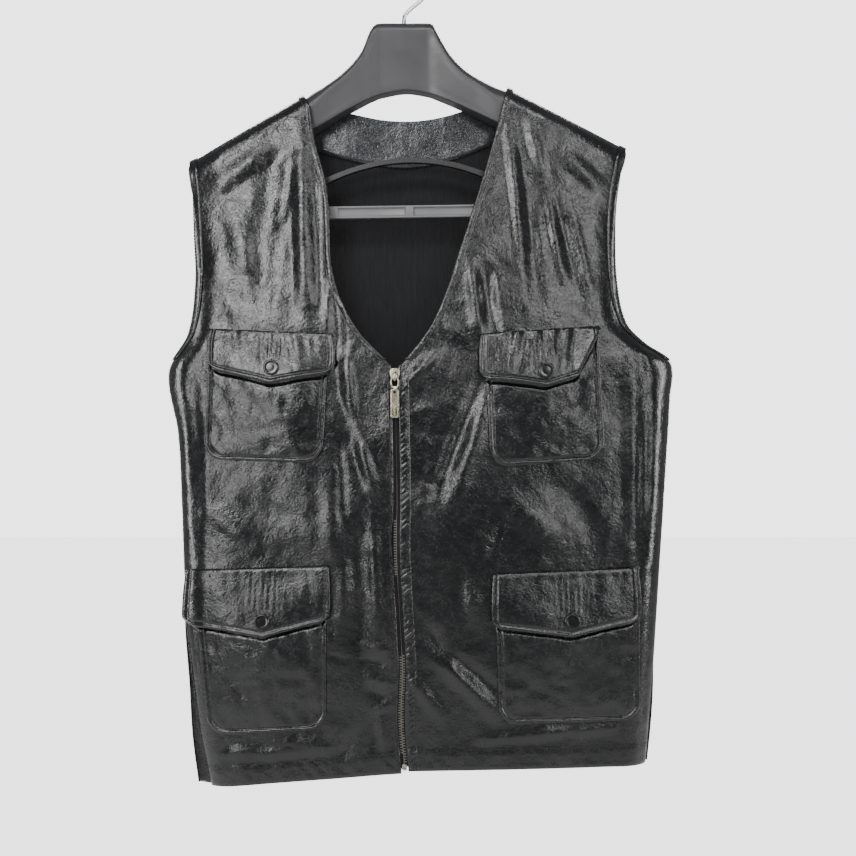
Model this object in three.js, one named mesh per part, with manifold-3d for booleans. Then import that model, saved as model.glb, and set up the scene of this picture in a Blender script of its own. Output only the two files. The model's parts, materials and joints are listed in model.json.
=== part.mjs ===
// A black leather vest with four patch pockets, hung on a broad plastic hanger.
// Millimetres, Z up, X to the viewer's right, the front faces -Y.
// The origin is the inside top of the hanger's hook, where a rail carries it.
import * as THREE from 'three';
import { mergeVertices } from 'three/addons/utils/BufferGeometryUtils.js';
import Module from 'manifold-3d';

const wasm = await Module();
wasm.setup();

// Walls and clearances
const leather = 1.6;
const trim = 1.2;
const liningCloth = 0.8;
const seamHalfGap = 0.2;
const layGap = 0.6;
const seat = 0.3;

// Shoulders: the vest lies on arms of this rounding
const crown = 16;
const armGap = 3.2;
const backLayers = 4;
const rollWide = 26;
const settle = 130;
const foldFrom = 30;

// The panels draw back a little from the middle of the body to its sides
const halfBody = 230;
const frontBow = 7;
const backBow = 4;
const sideProud = 5;
const sideBlend = 40;
const armholeTuck = 2;

// Hems, zip and edge bands
const zipHalfGap = 3.5;
const neckEnd = -404;
const bandWide = 6;
const stripWide = 10;
const tapeWide = 13;

// Snap caps, slider and pull
const capRadius = 7.5;
const capHigh = 3.2;
const sliderWide = 10;
const sliderFoot = 6.8;
const sliderHigh = 17;
const sliderThick = 4.4;
const pullHigh = 41;
const pullWide = 8.4;
const pullThick = 1.2;

// Hanger
const wire = 2;
const hookInner = 22;
const plateTop = -62;
const barHigh = 12;
const barDeep = 7;
const bowHigh = 5;
const bowDeep = 8;

// The shoulder seams run straight from the neck point to the tip.
const shoulder = {
  right: { neckX: -100, neckZ: -135, tipX: -213, tipZ: -201 },
  left: { neckX: 103, neckZ: -127, tipX: 221, tipZ: -188 },
};

// Neck edges, from the neck point down to the zip
const neck = {
  right: [
    { z: -135, x: -100 }, { z: -150, x: -92 }, { z: -184, x: -87 }, { z: -225, x: -76 },
    { z: -265, x: -73 }, { z: -305, x: -71 }, { z: -340, x: -61 }, { z: -373, x: -42 }, { z: -404, x: -12 },
  ],
  left: [
    { z: -127, x: 103 }, { z: -141, x: 99 }, { z: -165, x: 93 }, { z: -215, x: 79 }, { z: -257, x: 66 },
    { z: -294, x: 54 }, { z: -329, x: 43 }, { z: -365, x: 27 }, { z: -389, x: 10 }, { z: -404, x: -4 },
  ],
};

// The zip wanders a little down the front.
const zipLine = [
  { z: -404, x: -8.5 }, { z: -468, x: -7.2 }, { z: -536, x: -6.2 }, { z: -585, x: -6.7 },
  { z: -672, x: -2.3 }, { z: -702, x: -0.8 }, { z: -750, x: -2.3 }, { z: -803, x: 1.6 },
];

// Outer edges: armhole down to the underarm, then the side; y is the depth of the front's edge.
const outer = {
  right: [
    { z: -201, x: -213, y: -18 }, { z: -240, x: -208, y: -17 }, { z: -281, x: -206, y: -15 },
    { z: -322, x: -205, y: -13 }, { z: -373, x: -213, y: -8 }, { z: -410, x: -235, y: 2 },
    { z: -471, x: -226, y: 2 }, { z: -541, x: -222, y: 1 }, { z: -607, x: -219, y: -3 },
    { z: -663, x: -214, y: -10 }, { z: -716, x: -207, y: -14 }, { z: -769, x: -200, y: -15 },
    { z: -819, x: -190, y: -14 },
  ],
  left: [
    { z: -188, x: 221, y: -18 }, { z: -212, x: 215, y: -17 }, { z: -238, x: 210, y: -16 },
    { z: -273, x: 208, y: -15 }, { z: -322, x: 210, y: -13 }, { z: -363, x: 220, y: -9 },
    { z: -383, x: 240, y: -4 }, { z: -400, x: 266, y: 2 }, { z: -438, x: 266, y: 3 },
    { z: -506, x: 262, y: 3 }, { z: -593, x: 256, y: 2 }, { z: -699, x: 249, y: 0 },
    { z: -769, x: 243, y: -4 }, { z: -798, x: 240, y: -6 },
  ],
};
const hem = { right: { inner: -803, outer: -818 }, left: { inner: -801, outer: -797 } };

// How far the back stands out past the front's side edge, and how far back its armhole edge lies
const backProud = {
  right: [{ z: -201, x: 0 }, { z: -600, x: 0 }, { z: -663, x: 4 }, { z: -727, x: 7 }, { z: -817, x: 14 }],
  left: [{ z: -188, x: 0 }, { z: -690, x: 0 }, { z: -735, x: 3 }, { z: -798, x: 3 }],
};
const backEdge = [{ z: -188, y: 17 }, { z: -300, y: 17 }, { z: -370, y: 12 }, { z: -405, y: 3 }];
const underarm = -405;

// How far the front and the back hang from the hook's plane, down the middle
const frontProfile = [
  { z: -130, y: 22 }, { z: -250, y: 27 }, { z: -400, y: 34 }, { z: -520, y: 37 },
  { z: -650, y: 38 }, { z: -820, y: 34 },
];
const backProfile = [{ z: -130, y: 25 }, { z: -260, y: 27 }, { z: -500, y: 26 }, { z: -820, y: 27 }];
const backNeckZ = -155;

// The largest folds: a soft ridge (high above 0) or trough (below 0) along each line
const folds = {
  right: [
    { x0: -56, z0: -388, x1: -26, z1: -524, wide: 16, high: 3.2 },
    { x0: -66, z0: -330, x1: -46, z1: -470, wide: 15, high: -3.0 },
    { x0: -100, z0: -165, x1: -108, z1: -340, wide: 22, high: 2.4 },
    { x0: -128, z0: -176, x1: -140, z1: -345, wide: 22, high: -2.0 },
    { x0: -188, z0: -214, x1: -150, z1: -196, wide: 16, high: 2.0 },
    { x0: -48, z0: -560, x1: -40, z1: -740, wide: 20, high: -2.4 },
    { x0: -206, z0: -430, x1: -200, z1: -590, wide: 13, high: -2.4 },
    { x0: -170, z0: -778, x1: -60, z1: -770, wide: 11, high: 1.6 },
  ],
  left: [
    { x0: 5, z0: -420, x1: 36, z1: -386, wide: 13, high: 3.0 },
    { x0: 58, z0: -412, x1: 24, z1: -545, wide: 15, high: -3.2 },
    { x0: 72, z0: -436, x1: 44, z1: -570, wide: 14, high: 2.6 },
    { x0: 78, z0: -300, x1: 88, z1: -362, wide: 16, high: -2.6 },
    { x0: 106, z0: -160, x1: 112, z1: -300, wide: 20, high: 2.2 },
    { x0: 140, z0: -180, x1: 164, z1: -340, wide: 24, high: -2.2 },
    { x0: 36, z0: -690, x1: 80, z1: -736, wide: 14, high: 2.8 },
    { x0: 70, z0: -774, x1: 220, z1: -768, wide: 11, high: 1.6 },
  ],
  back: [
    { x0: -120, z0: -240, x1: -90, z1: -470, wide: 34, high: 3.0 },
    { x0: 110, z0: -230, x1: 70, z1: -450, wide: 34, high: -3.0 },
    { x0: -20, z0: -480, x1: 10, z1: -740, wide: 40, high: 3.2 },
    { x0: 150, z0: -500, x1: 165, z1: -760, wide: 32, high: 2.6 },
    { x0: -150, z0: -520, x1: -140, z1: -760, wide: 32, high: -2.6 },
  ],
};

// Patch pockets: corners of the top and bottom edges
const pockets = [
  { name: 'right_chest', side: 'right', topIn: -72, topOut: -189, lowIn: -79, lowOut: -193, top: -377,
    lowInZ: -500, lowOutZ: -497 },
  { name: 'left_chest', side: 'left', topIn: 78, topOut: 191, lowIn: 85, lowOut: 197, top: -377,
    lowInZ: -504, lowOutZ: -497 },
  { name: 'right_hip', side: 'right', topIn: -75, topOut: -205, lowIn: -75, lowOut: -190, top: -609,
    lowInZ: -760, lowOutZ: -766 },
  { name: 'left_hip', side: 'left', topIn: 89, topOut: 230, lowIn: 93, lowOut: 231, top: -611,
    lowInZ: -755, lowOutZ: -752 },
];
const pocketCorner = 19;
const pocketPuff = 2.2;

// Flaps: top corners, depths at the sides and at the point, where the point is, and the turned-up corner
const flaps = [
  { name: 'right_chest', inX: -70, inZ: -374, outX: -187, outZ: -369, side: 40, point: 51, at: 0.49, curl: 0 },
  { name: 'left_chest', inX: 75, inZ: -374, outX: 191, outZ: -366, side: 45, point: 56, at: 0.55, curl: 0.3 },
  { name: 'right_hip', inX: -72, inZ: -600, outX: -210, outZ: -604, side: 54, point: 67, at: 0.47, curl: 0 },
  { name: 'left_hip', inX: 87, inZ: -608, outX: 229, outZ: -602, side: 53, point: 64, at: 0.54, curl: 0 },
];
const flapCorner = 11;

// Hanger sections, left to right; under the cloth the top follows the shoulder seam
const hangerSections = [
  { x: -209, low: -222, half: 12 }, { x: -202, low: -221, half: 16 }, { x: -180, low: -213, half: 18.5 },
  { x: -140, low: -195, half: 18 }, { x: -100, low: -176, half: 16 },
  { x: -90, top: -131.5, low: -170, half: 15.5 }, { x: -79, top: -125, low: -164, half: 15 },
  { x: -59, top: -110, low: -152, half: 14 }, { x: -42, top: -90, low: -143, half: 13 },
  { x: -34, top: -70, low: -139, half: 12 }, { x: -29, top: plateTop - 1.5, low: -137, half: 11.5 },
  { x: -24, top: plateTop, low: -135, half: 11 }, { x: 2, top: plateTop, low: -130.5, half: 11 },
  { x: 24, top: plateTop, low: -133.5, half: 11 }, { x: 29, top: plateTop - 1.5, low: -135, half: 11.5 },
  { x: 33, top: -72, low: -136.5, half: 12 }, { x: 47, top: -95, low: -142, half: 13 },
  { x: 65, top: -112, low: -150, half: 14 }, { x: 91, top: -126, low: -162.5, half: 15.5 },
  { x: 103, low: -168, half: 16 }, { x: 140, low: -185, half: 18 }, { x: 180, low: -201, half: 18.5 },
  { x: 208, low: -208, half: 16 }, { x: 216, low: -209, half: 12 },
];

const clamp = (v, lo, hi) => Math.min(Math.max(v, lo), hi);
const mix = (a, b, t) => a + (b - a) * t;
const ease = (t) => clamp(t, 0, 1) ** 2 * (3 - 2 * clamp(t, 0, 1));

// A smooth line through one column of a table whose rows run down in z
function along(rows, column, z) {
  let i = 0;
  while (i < rows.length - 2 && z < rows[i + 1].z) i += 1;
  const slope = (k) => {
    const a = rows[Math.max(k - 1, 0)];
    const b = rows[Math.min(k + 1, rows.length - 1)];
    return (b[column] - a[column]) / (b.z - a.z);
  };
  const span = rows[i + 1].z - rows[i].z;
  const t = clamp((z - rows[i].z) / span, 0, 1);
  const t2 = t * t;
  const t3 = t2 * t;
  return (2 * t3 - 3 * t2 + 1) * rows[i][column] + (t3 - 2 * t2 + t) * slope(i) * span
    + (3 * t2 - 2 * t3) * rows[i + 1][column] + (t3 - t2) * slope(i + 1) * span;
}

// A straight line through one column, by x
function across(rows, column, x) {
  let i = 0;
  while (i < rows.length - 2 && x > rows[i + 1].x) i += 1;
  const [a, b] = [rows[i], rows[i + 1]];
  return mix(a[column], b[column], clamp((x - a.x) / (b.x - a.x), 0, 1));
}

function shoulderZ(side, x) {
  const s = shoulder[side];
  return s.neckZ + (x - s.neckX) * (s.tipZ - s.neckZ) / (s.tipX - s.neckX);
}

for (const s of hangerSections) {
  s.top ??= shoulderZ(s.x < 0 ? 'right' : 'left', s.x) - armGap - seat;
}

// Half the depth of what lies over the arm at x, cloth and clearance taken in
const overArm = (x) => across(hangerSections, 'half', x) + armGap + seat;

function shoulderRound(drop) {
  const t = clamp(1 - drop / (crown + armGap), 0, 1);
  return Math.sqrt(1 - t * t);
}

function foldHeight(list, x, z) {
  let sum = 0;
  for (const f of list) {
    const dx = f.x1 - f.x0;
    const dz = f.z1 - f.z0;
    const t = clamp(((x - f.x0) * dx + (z - f.z0) * dz) / (dx * dx + dz * dz), 0, 1);
    const away = Math.hypot(x - f.x0 - dx * t, z - f.z0 - dz * t) / f.wide;
    const ends = 0.35 + 0.65 * Math.sin(Math.PI * t);
    if (away < 1) sum += f.high * ends * (1 - away * away) ** 2;
  }
  return sum;
}

// Depth of a front's outer face at x, z; the face curves back to its seam at the side
function frontDepth(side, x, z) {
  const drop = shoulderZ(side, x) - z;
  const free = along(frontProfile, 'y', z) - frontBow * (x / halfBody) ** 2;
  const hang = mix(overArm(x), free, ease(drop / settle));
  const edgeX = along(outer[side], 'x', z);
  const near = clamp(1 - Math.abs(edgeX - x) / rollWide, 0, 1);
  const roll = 1 - Math.sqrt(1 - near * near);
  const y = mix(-hang, along(outer[side], 'y', z), roll);
  const fold = foldHeight(folds[side], x, z) * (1 - near) * ease(drop / foldFrom);
  return y * shoulderRound(drop) - fold - seamHalfGap;
}

const sideOf = (x) => (x < 1 ? 'right' : 'left');
function backEdgeX(side, z) {
  const sign = side === 'right' ? -1 : 1;
  return along(outer[side], 'x', z) + sign * along(backProud[side], 'x', z);
}

function backEdgeY(side, z) {
  const seam = along(outer[side], 'y', z) + 2 * seamHalfGap;
  return mix(seam, along(backEdge, 'y', z), ease((z - underarm) / foldFrom));
}

function backTopZ(x) {
  if (x < shoulder.right.neckX) return shoulderZ('right', x);
  if (x > shoulder.left.neckX) return shoulderZ('left', x);
  const t = (x - shoulder.right.neckX) / (shoulder.left.neckX - shoulder.right.neckX);
  const line = mix(shoulder.right.neckZ, shoulder.left.neckZ, t);
  return mix(line, backNeckZ, Math.sin(Math.PI * t));
}

function backDepth(x, z) {
  const side = sideOf(x);
  const drop = Math.max(across(hangerSections, 'top', x) + armGap + seat, backTopZ(x)) - z;
  const free = along(backProfile, 'y', z) - backBow * (x / halfBody) ** 2;
  const hang = mix(overArm(x) + backLayers, free, ease(drop / settle));
  const near = clamp(1 - Math.abs(backEdgeX(side, z) - x) / rollWide, 0, 1);
  const roll = 1 - Math.sqrt(1 - near * near);
  const y = mix(hang, backEdgeY(side, z), roll);
  const fold = foldHeight(folds.back, x, z) * (1 - near);
  return y * shoulderRound(drop) + fold + seamHalfGap;
}

// A grid of points with its outward normals; facing is -1 towards the viewer, 1 away
function makeGrid(columns, rows, facing, place) {
  const points = [];
  for (let r = 0; r <= rows; r += 1) {
    points.push([]);
    for (let c = 0; c <= columns; c += 1) points[r].push(place(c, r));
  }
  const normals = points.map((row, r) => row.map((p, c) => {
    const u = row[Math.min(c + 1, columns)].clone().sub(row[Math.max(c - 1, 0)]);
    const v = points[Math.min(r + 1, rows)][c].clone().sub(points[Math.max(r - 1, 0)][c]);
    return u.cross(v).normalize();
  }));
  const middle = normals[Math.floor(rows / 2)][Math.floor(columns / 2)];
  const turned = middle.y * facing < 0;
  if (turned) normals.forEach((row) => row.forEach((n) => n.negate()));
  return { columns, rows, turned, points, normals };
}

// Point of a grid at fractions of its cells, moved out by lift
function gridPoint(grid, c, r, lift = 0) {
  const c0 = clamp(Math.floor(c), 0, grid.columns - 1);
  const r0 = clamp(Math.floor(r), 0, grid.rows - 1);
  const blend = (list) => {
    const top = list[r0][c0].clone().lerp(list[r0][c0 + 1], c - c0);
    return top.lerp(list[r0 + 1][c0].clone().lerp(list[r0 + 1][c0 + 1], c - c0), r - r0);
  };
  return blend(grid.points).addScaledVector(blend(grid.normals).normalize(), lift);
}

// A closed wall over a grid, between two heights; flush keeps a seam's end face square to the seam
function wall(grid, low, high, flush = {}) {
  const { columns, rows, points, normals } = grid;
  const flat = [];
  for (const lift of [high, low]) {
    for (let r = 0; r <= rows; r += 1) {
      for (let c = 0; c <= columns; c += 1) {
        const height = typeof lift === 'function' ? lift(c, r) : lift;
        const p = points[r][c].clone().addScaledVector(normals[r][c], height);
        const seamTop = flush.top && r === 0 && flush.top(points[0][c]);
        const seamSide = flush.side && flush.side.includes(c);
        if (seamTop || seamSide) p.y = points[r][c].y;
        flat.push(p.x, p.y, p.z);
      }
    }
  }
  const layer = (rows + 1) * (columns + 1);
  const at = (c, r, face) => face * layer + r * (columns + 1) + c;
  const index = [];
  const quad = (a, b, c, d) => {
    if (grid.turned) index.push(a, c, b, a, d, c);
    else index.push(a, b, c, a, c, d);
  };
  for (let r = 0; r < rows; r += 1) {
    for (let c = 0; c < columns; c += 1) {
      quad(at(c, r, 0), at(c + 1, r, 0), at(c + 1, r + 1, 0), at(c, r + 1, 0));
      quad(at(c, r, 1), at(c, r + 1, 1), at(c + 1, r + 1, 1), at(c + 1, r, 1));
    }
    quad(at(0, r, 0), at(0, r + 1, 0), at(0, r + 1, 1), at(0, r, 1));
    quad(at(columns, r, 0), at(columns, r, 1), at(columns, r + 1, 1), at(columns, r + 1, 0));
  }
  for (let c = 0; c < columns; c += 1) {
    quad(at(c, 0, 0), at(c, 0, 1), at(c + 1, 0, 1), at(c + 1, 0, 0));
    quad(at(c, rows, 0), at(c + 1, rows, 0), at(c + 1, rows, 1), at(c, rows, 1));
  }
  const geometry = new THREE.BufferGeometry();
  geometry.setAttribute('position', new THREE.Float32BufferAttribute(flat, 3));
  geometry.setIndex(index);
  return geometry;
}

const vest = new THREE.Group();
const looks = {
  hide: { color: 0x17181b, roughness: 0.38, metalness: 0 },
  lining: { color: 0x0c0d10, roughness: 0.9, metalness: 0 },
  tape: { color: 0x0a0a0c, roughness: 0.85, metalness: 0 },
  plastic: { color: 0x1a1b1e, roughness: 0.35, metalness: 0 },
  cap: { color: 0x0b0b0d, roughness: 0.25, metalness: 0.1 },
  metal: { color: 0xc9bfa2, roughness: 0.28, metalness: 1 },
  chrome: { color: 0xc4c6c8, roughness: 0.18, metalness: 1 },
};

function add(name, look, geometry) {
  const mesh = new THREE.Mesh(geometry, new THREE.MeshStandardMaterial(looks[look]));
  mesh.name = name;
  vest.add(mesh);
  return mesh;
}

// Front panels: rows follow the shoulder's rounding, then run on to the hem
const roundRows = 5;
const frontRows = 27;
const flatColumns = 12;
const rollColumns = 4;
const frontColumns = flatColumns + rollColumns;
const roundDrop = (r) => (crown + armGap) * (1 - Math.cos(Math.PI * r / roundRows / 2));

function rowZ(top, low, r, rows) {
  if (r <= roundRows) return top - roundDrop(r);
  return mix(top - crown - armGap, low, (r - roundRows) / (rows - roundRows));
}

function innerX(side, z) {
  const sign = side === 'right' ? -1 : 1;
  return z > neckEnd ? along(neck[side], 'x', z) : along(zipLine, 'x', z) + sign * zipHalfGap;
}

function frontPlace(side, c, r) {
  const innerZ = rowZ(shoulder[side].neckZ, hem[side].inner, r, frontRows);
  const outerZ = rowZ(shoulder[side].tipZ, hem[side].outer, r, frontRows);
  const inX = innerX(side, innerZ);
  const outX = along(outer[side], 'x', outerZ);
  const rollShare = rollWide / Math.abs(outX - inX);
  const t = c <= flatColumns
    ? (c / flatColumns) * (1 - rollShare)
    : 1 - rollShare * (1 - Math.sin(Math.PI * (c - flatColumns) / rollColumns / 2));
  const x = mix(inX, outX, t);
  const z = mix(innerZ, outerZ, t);
  return new THREE.Vector3(x, frontDepth(side, x, z), z);
}

const seamTop = () => true;
const fronts = {};
for (const side of ['right', 'left']) {
  fronts[side] = makeGrid(frontColumns, frontRows, -1, (c, r) => frontPlace(side, c, r));
  add(`${side}_front`, 'hide', wall(fronts[side], -leather, 0, { top: seamTop, side: [frontColumns] }));
}

// Back panel: its neck edge dips between the shoulder seams, and its sides turn in to meet the fronts
const backRows = frontRows;
const shoulderColumns = 3;
const neckColumns = 10;
const backFlat = 2 * shoulderColumns + neckColumns;
const backColumns = backFlat + 2 * rollColumns + 2;

function backShare(c) {
  const from = shoulder.right.tipX + rollWide;
  const to = shoulder.left.tipX - rollWide;
  const neckFrom = (shoulder.right.neckX - from) / (to - from);
  const neckTo = (shoulder.left.neckX - from) / (to - from);
  if (c <= shoulderColumns) return neckFrom * c / shoulderColumns;
  if (c <= shoulderColumns + neckColumns) {
    return mix(neckFrom, neckTo, (1 - Math.cos(Math.PI * (c - shoulderColumns) / neckColumns)) / 2);
  }
  return mix(neckTo, 1, (c - shoulderColumns - neckColumns) / shoulderColumns);
}

function backX(c, edgeLeft, edgeRight) {
  const k = c - 1 - rollColumns;
  const step = (n) => rollWide * (1 - Math.sin(Math.PI * n / rollColumns / 2));
  if (k < 0) return edgeLeft + step(Math.min(-k, rollColumns));
  if (k > backFlat) return edgeRight - step(Math.min(k - backFlat, rollColumns));
  return mix(edgeLeft + rollWide, edgeRight - rollWide, backShare(k));
}

function backPlace(c, r) {
  const leftZ = rowZ(shoulder.right.tipZ, hem.right.outer, r, backRows);
  const rightZ = rowZ(shoulder.left.tipZ, hem.left.outer, r, backRows);
  const x = backX(c, backEdgeX('right', leftZ), backEdgeX('left', rightZ));
  const topX = backX(c, shoulder.right.tipX, shoulder.left.tipX);
  const share = clamp((x - shoulder.right.tipX) / (shoulder.left.tipX - shoulder.right.tipX), 0, 1);
  const z = rowZ(backTopZ(topX), mix(hem.right.outer, hem.left.outer, share), r, backRows);
  const atSeam = c === 0 || c === backColumns;
  const below = ease((underarm + sideBlend - z) / sideBlend);
  if (!atSeam) {
    const proud = (c === 1 || c === backColumns - 1) ? sideProud * below : 0;
    return new THREE.Vector3(x, backDepth(x, z) + proud, z);
  }
  const side = c === 0 ? 'right' : 'left';
  const sign = c === 0 ? -1 : 1;
  const proud = along(backProud[side], 'x', z) * below;
  const drop = backTopZ(topX) - z;
  const tuck = armholeTuck * (1 - below) * ease(drop / 20);
  const y = backEdgeY(side, z) * shoulderRound(drop) + seamHalfGap - tuck;
  return new THREE.Vector3(x - sign * proud, y, z);
}

const back = makeGrid(backColumns, backRows, 1, backPlace);
const onShoulder = (p) => p.x <= shoulder.right.neckX + 1 || p.x >= shoulder.left.neckX - 1;
add('back', 'hide', wall(back, -leather, 0, { top: onShoulder, side: [0, backColumns] }));

// Lining inside the back, from the same points moved in, and the leather facing over its top
const liningIn = -(leather + layGap);
const liningColumns = backFlat;
const liningFirst = 1 + rollColumns;
const liningGrid = makeGrid(liningColumns, backRows - 2, 1, (c, r) => (
  gridPoint(back, liningFirst + c, r + 1, liningIn)));
add('back_lining', 'lining', wall(liningGrid, -liningCloth, 0));

const facingIn = liningIn - liningCloth - layGap - seat;
const facingRows = 3;
const facingLow = roundRows + 0.85; // the facing ends most of a row below the rounding
const neckFirst = liningFirst + shoulderColumns;
const facingGrid = makeGrid(neckColumns - 2, facingRows, 1, (c, r) => (
  gridPoint(back, neckFirst + 1 + c, mix(1, facingLow, r / facingRows), facingIn)));
add('back_neck_facing', 'hide', wall(facingGrid, -trim, 0));

// Edge bands on the neck and the armholes, made from the panels' own points; each stops short of its corner
const neckBand = { steps: 22, short: 0.25 };
const armFrontBand = { steps: 16, short: 0.6, spread: 0.98 };
const armBackBand = { steps: 12, short: 0.8 };
const neckRow = (side) => {
  const top = shoulder[side].neckZ - crown - armGap;
  return roundRows + (frontRows - roundRows) * (top - neckEnd) / (top - hem[side].inner);
};
for (const side of ['right', 'left']) {
  const grid = fronts[side];
  const band = makeGrid(2, neckBand.steps, -1, (c, r) => {
    const row = mix(1, neckRow(side) - neckBand.short, r / neckBand.steps);
    const pitch = gridPoint(grid, 0, row).distanceTo(gridPoint(grid, 1, row));
    return gridPoint(grid, (c / 2) * bandWide / pitch, row);
  });
  add(`${side}_neck_band`, 'hide', wall(band, layGap, layGap + trim));

  const tipTop = shoulder[side].tipZ - crown - armGap;
  const armRow = roundRows + (frontRows - roundRows) * (tipTop - underarm) / (tipTop - hem[side].outer);
  const armBand = makeGrid(2, armFrontBand.steps, -1, (c, r) => {
    const row = mix(1, armRow - armFrontBand.short, r / armFrontBand.steps);
    return gridPoint(grid, frontColumns - 2 + c * armFrontBand.spread, row);
  });
  add(`${side}_armhole_front_band`, 'hide', wall(armBand, layGap, layGap + trim));

  const first = side === 'right' ? 1 : backColumns - 3;
  const backBand = makeGrid(2, armBackBand.steps, 1, (c, r) => (
    gridPoint(back, first + c, mix(1, armRow - armBackBand.short, r / armBackBand.steps))));
  add(`${side}_armhole_back_band`, 'hide', wall(backBand, layGap, layGap + trim));
}
const backNeckBand = makeGrid(neckColumns - 2, 2, 1, (c, r) => back.points[r][neckFirst + 1 + c].clone());
add('back_neck_band', 'hide', wall(backNeckBand, layGap, layGap + trim));

// Zip tapes behind the front edges, and the puckered strip on the left edge
const tapeThick = 1;
const tapeMeet = 0.4; // each tape stops this far short of the zip's middle
const stripRows = 46;
const puckerHigh = 0.5;
for (const side of ['right', 'left']) {
  const grid = fronts[side];
  const sign = side === 'right' ? 1 : -1;
  const first = Math.ceil(neckRow(side));
  const tape = makeGrid(2, frontRows - first, -1, (c, r) => {
    const row = Math.min(first + r, frontRows - 0.2);
    const behind = -(leather + layGap);
    const toMiddle = new THREE.Vector3(sign * (zipHalfGap - tapeMeet), 0, 0);
    if (c === 0) return gridPoint(grid, 0, row, behind).add(toMiddle);
    const pitch = gridPoint(grid, 0, row).distanceTo(gridPoint(grid, 1, row));
    return gridPoint(grid, (c - 1) * tapeWide / pitch, row, behind);
  });
  add(`${side}_zip_tape`, 'tape', wall(tape, -tapeThick, 0));
}
const strip = makeGrid(2, stripRows, -1, (c, r) => {
  const row = mix(neckRow('left') + 0.5, frontRows - 0.1, r / stripRows);
  const pitch = gridPoint(fronts.left, 0, row).distanceTo(gridPoint(fronts.left, 1, row));
  return gridPoint(fronts.left, (c / 2) * stripWide / pitch, row);
});
const pucker = (c, r) => (
  layGap + trim + puckerHigh * (1 + Math.sin(1.9 * r + 1.4 * c)) * (c === 1 ? 1 : 0.3));
add('zip_strip', 'hide', wall(strip, layGap, pucker));

// Pockets and flaps lie on the front's form, with a slight fill
function pocketFill(p, x, z) {
  const u = (x - p.topIn) / (p.topOut - p.topIn);
  const v = (z - p.top) / (p.lowInZ - p.top);
  return pocketPuff * Math.sin(Math.PI * clamp(u, 0, 1)) * Math.sin(Math.PI * clamp(v, 0, 1));
}

function onFront(side, x, z) {
  return new THREE.Vector3(x, frontDepth(side, x, z), z);
}

const pocketColumns = 9;
const pocketRows = 8;
const pocketTurnRows = 3; // rows that run round the lower corners
const pocketInset = 0.96; // share of the corner's radius that the last row takes up
const pocketLift = 0.7;
const rollLift = 1.6;
const pocketWall = 1.3;
const flapGap = 1;
const flapWall = 1.4;
const flapFlare = 4;

// A pocket's height off the panel, a little more where the panel rolls to its side
function liftAt(side, q) {
  const near = clamp(1 - Math.abs(along(outer[side], 'x', q.z) - q.x) / rollWide, 0, 1);
  return pocketLift + rollLift * near;
}

function addPocket(p) {
  const straightRows = pocketRows - pocketTurnRows;
  const grid = makeGrid(pocketColumns, pocketRows, -1, (c, r) => {
    const deep = p.top - mix(p.lowInZ, p.lowOutZ, c / pocketColumns);
    const turn = Math.max(r - straightRows, 0) / pocketTurnRows * Math.PI / 2;
    const down = r <= straightRows
      ? (deep - pocketCorner) * r / straightRows
      : deep - pocketCorner * (1 - Math.sin(turn));
    const inset = pocketCorner * (1 - Math.cos(turn)) * pocketInset;
    const v = down / deep;
    const inX = mix(p.topIn, p.lowIn, v) + Math.sign(p.topOut - p.topIn) * inset;
    const outX = mix(p.topOut, p.lowOut, v) - Math.sign(p.topOut - p.topIn) * inset;
    return onFront(p.side, mix(inX, outX, c / pocketColumns), p.top - down);
  });
  const outerLift = (c, r) => {
    const q = grid.points[r][c];
    return liftAt(p.side, q) + pocketWall + pocketFill(p, q.x, q.z);
  };
  add(`${p.name}_pocket`, 'hide', wall(grid, (c, r) => liftAt(p.side, grid.points[r][c]), outerLift));
}

const flapColumns = 12;
const flapRows = 4;
function flapDeep(f, u) {
  const wide = Math.abs(f.outX - f.inX);
  const near = Math.min(u, 1 - u) * wide;
  const t = clamp(1 - near / flapCorner, 0, 1);
  const corner = flapCorner * (1 - Math.sqrt(1 - t * t)) * 0.9;
  const peak = (f.point - f.side) * clamp(1 - Math.abs(u - f.at) / 0.2, 0, 1) ** 1.3;
  const curl = f.curl > 0 ? clamp((u - 1 + f.curl) / f.curl, 0, 1) * (f.side - 8) : 0;
  return Math.max(f.side + peak - corner - curl, 6);
}

function flapPoint(f, p, u, v) {
  const x = mix(f.inX, f.outX, u) + (u - 0.5) * flapFlare * v;
  const z = mix(f.inZ, f.outZ, u) - flapDeep(f, u) * v;
  return onFront(p.side, x, z);
}

function flapLift(p, q) {
  return liftAt(p.side, q) + pocketWall + pocketFill(p, q.x, q.z) + flapGap;
}

function addFlap(f, p) {
  const grid = makeGrid(flapColumns, flapRows, -1, (c, r) => flapPoint(f, p, c / flapColumns, r / flapRows));
  const low = (c, r) => flapLift(p, grid.points[r][c]);
  add(`${f.name}_flap`, 'hide', wall(grid, low, (c, r) => low(c, r) + flapWall));
}

// Snap cap: a low dome with a rolled edge
function capGeometry() {
  const profile = [
    new THREE.Vector2(0, 0), new THREE.Vector2(capRadius - 0.8, 0), new THREE.Vector2(capRadius, 0.9),
    new THREE.Vector2(capRadius * 0.8, capHigh * 0.75), new THREE.Vector2(capRadius * 0.4, capHigh * 0.96),
    new THREE.Vector2(0, capHigh),
  ];
  return new THREE.LatheGeometry(profile, 20);
}

const snapUp = 15.5;
const snapSeat = 0.7;
pockets.forEach((p, i) => {
  addPocket(p);
  const f = flaps[i];
  addFlap(f, p);
  const atPoint = flapPoint(f, p, f.at, 1 - snapUp / flapDeep(f, f.at));
  const cap = add(`${p.name}_snap`, 'cap', capGeometry());
  cap.rotation.x = Math.PI;
  cap.position.copy(atPoint);
  cap.position.y -= flapLift(p, atPoint) + flapWall + snapSeat;
});

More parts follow.
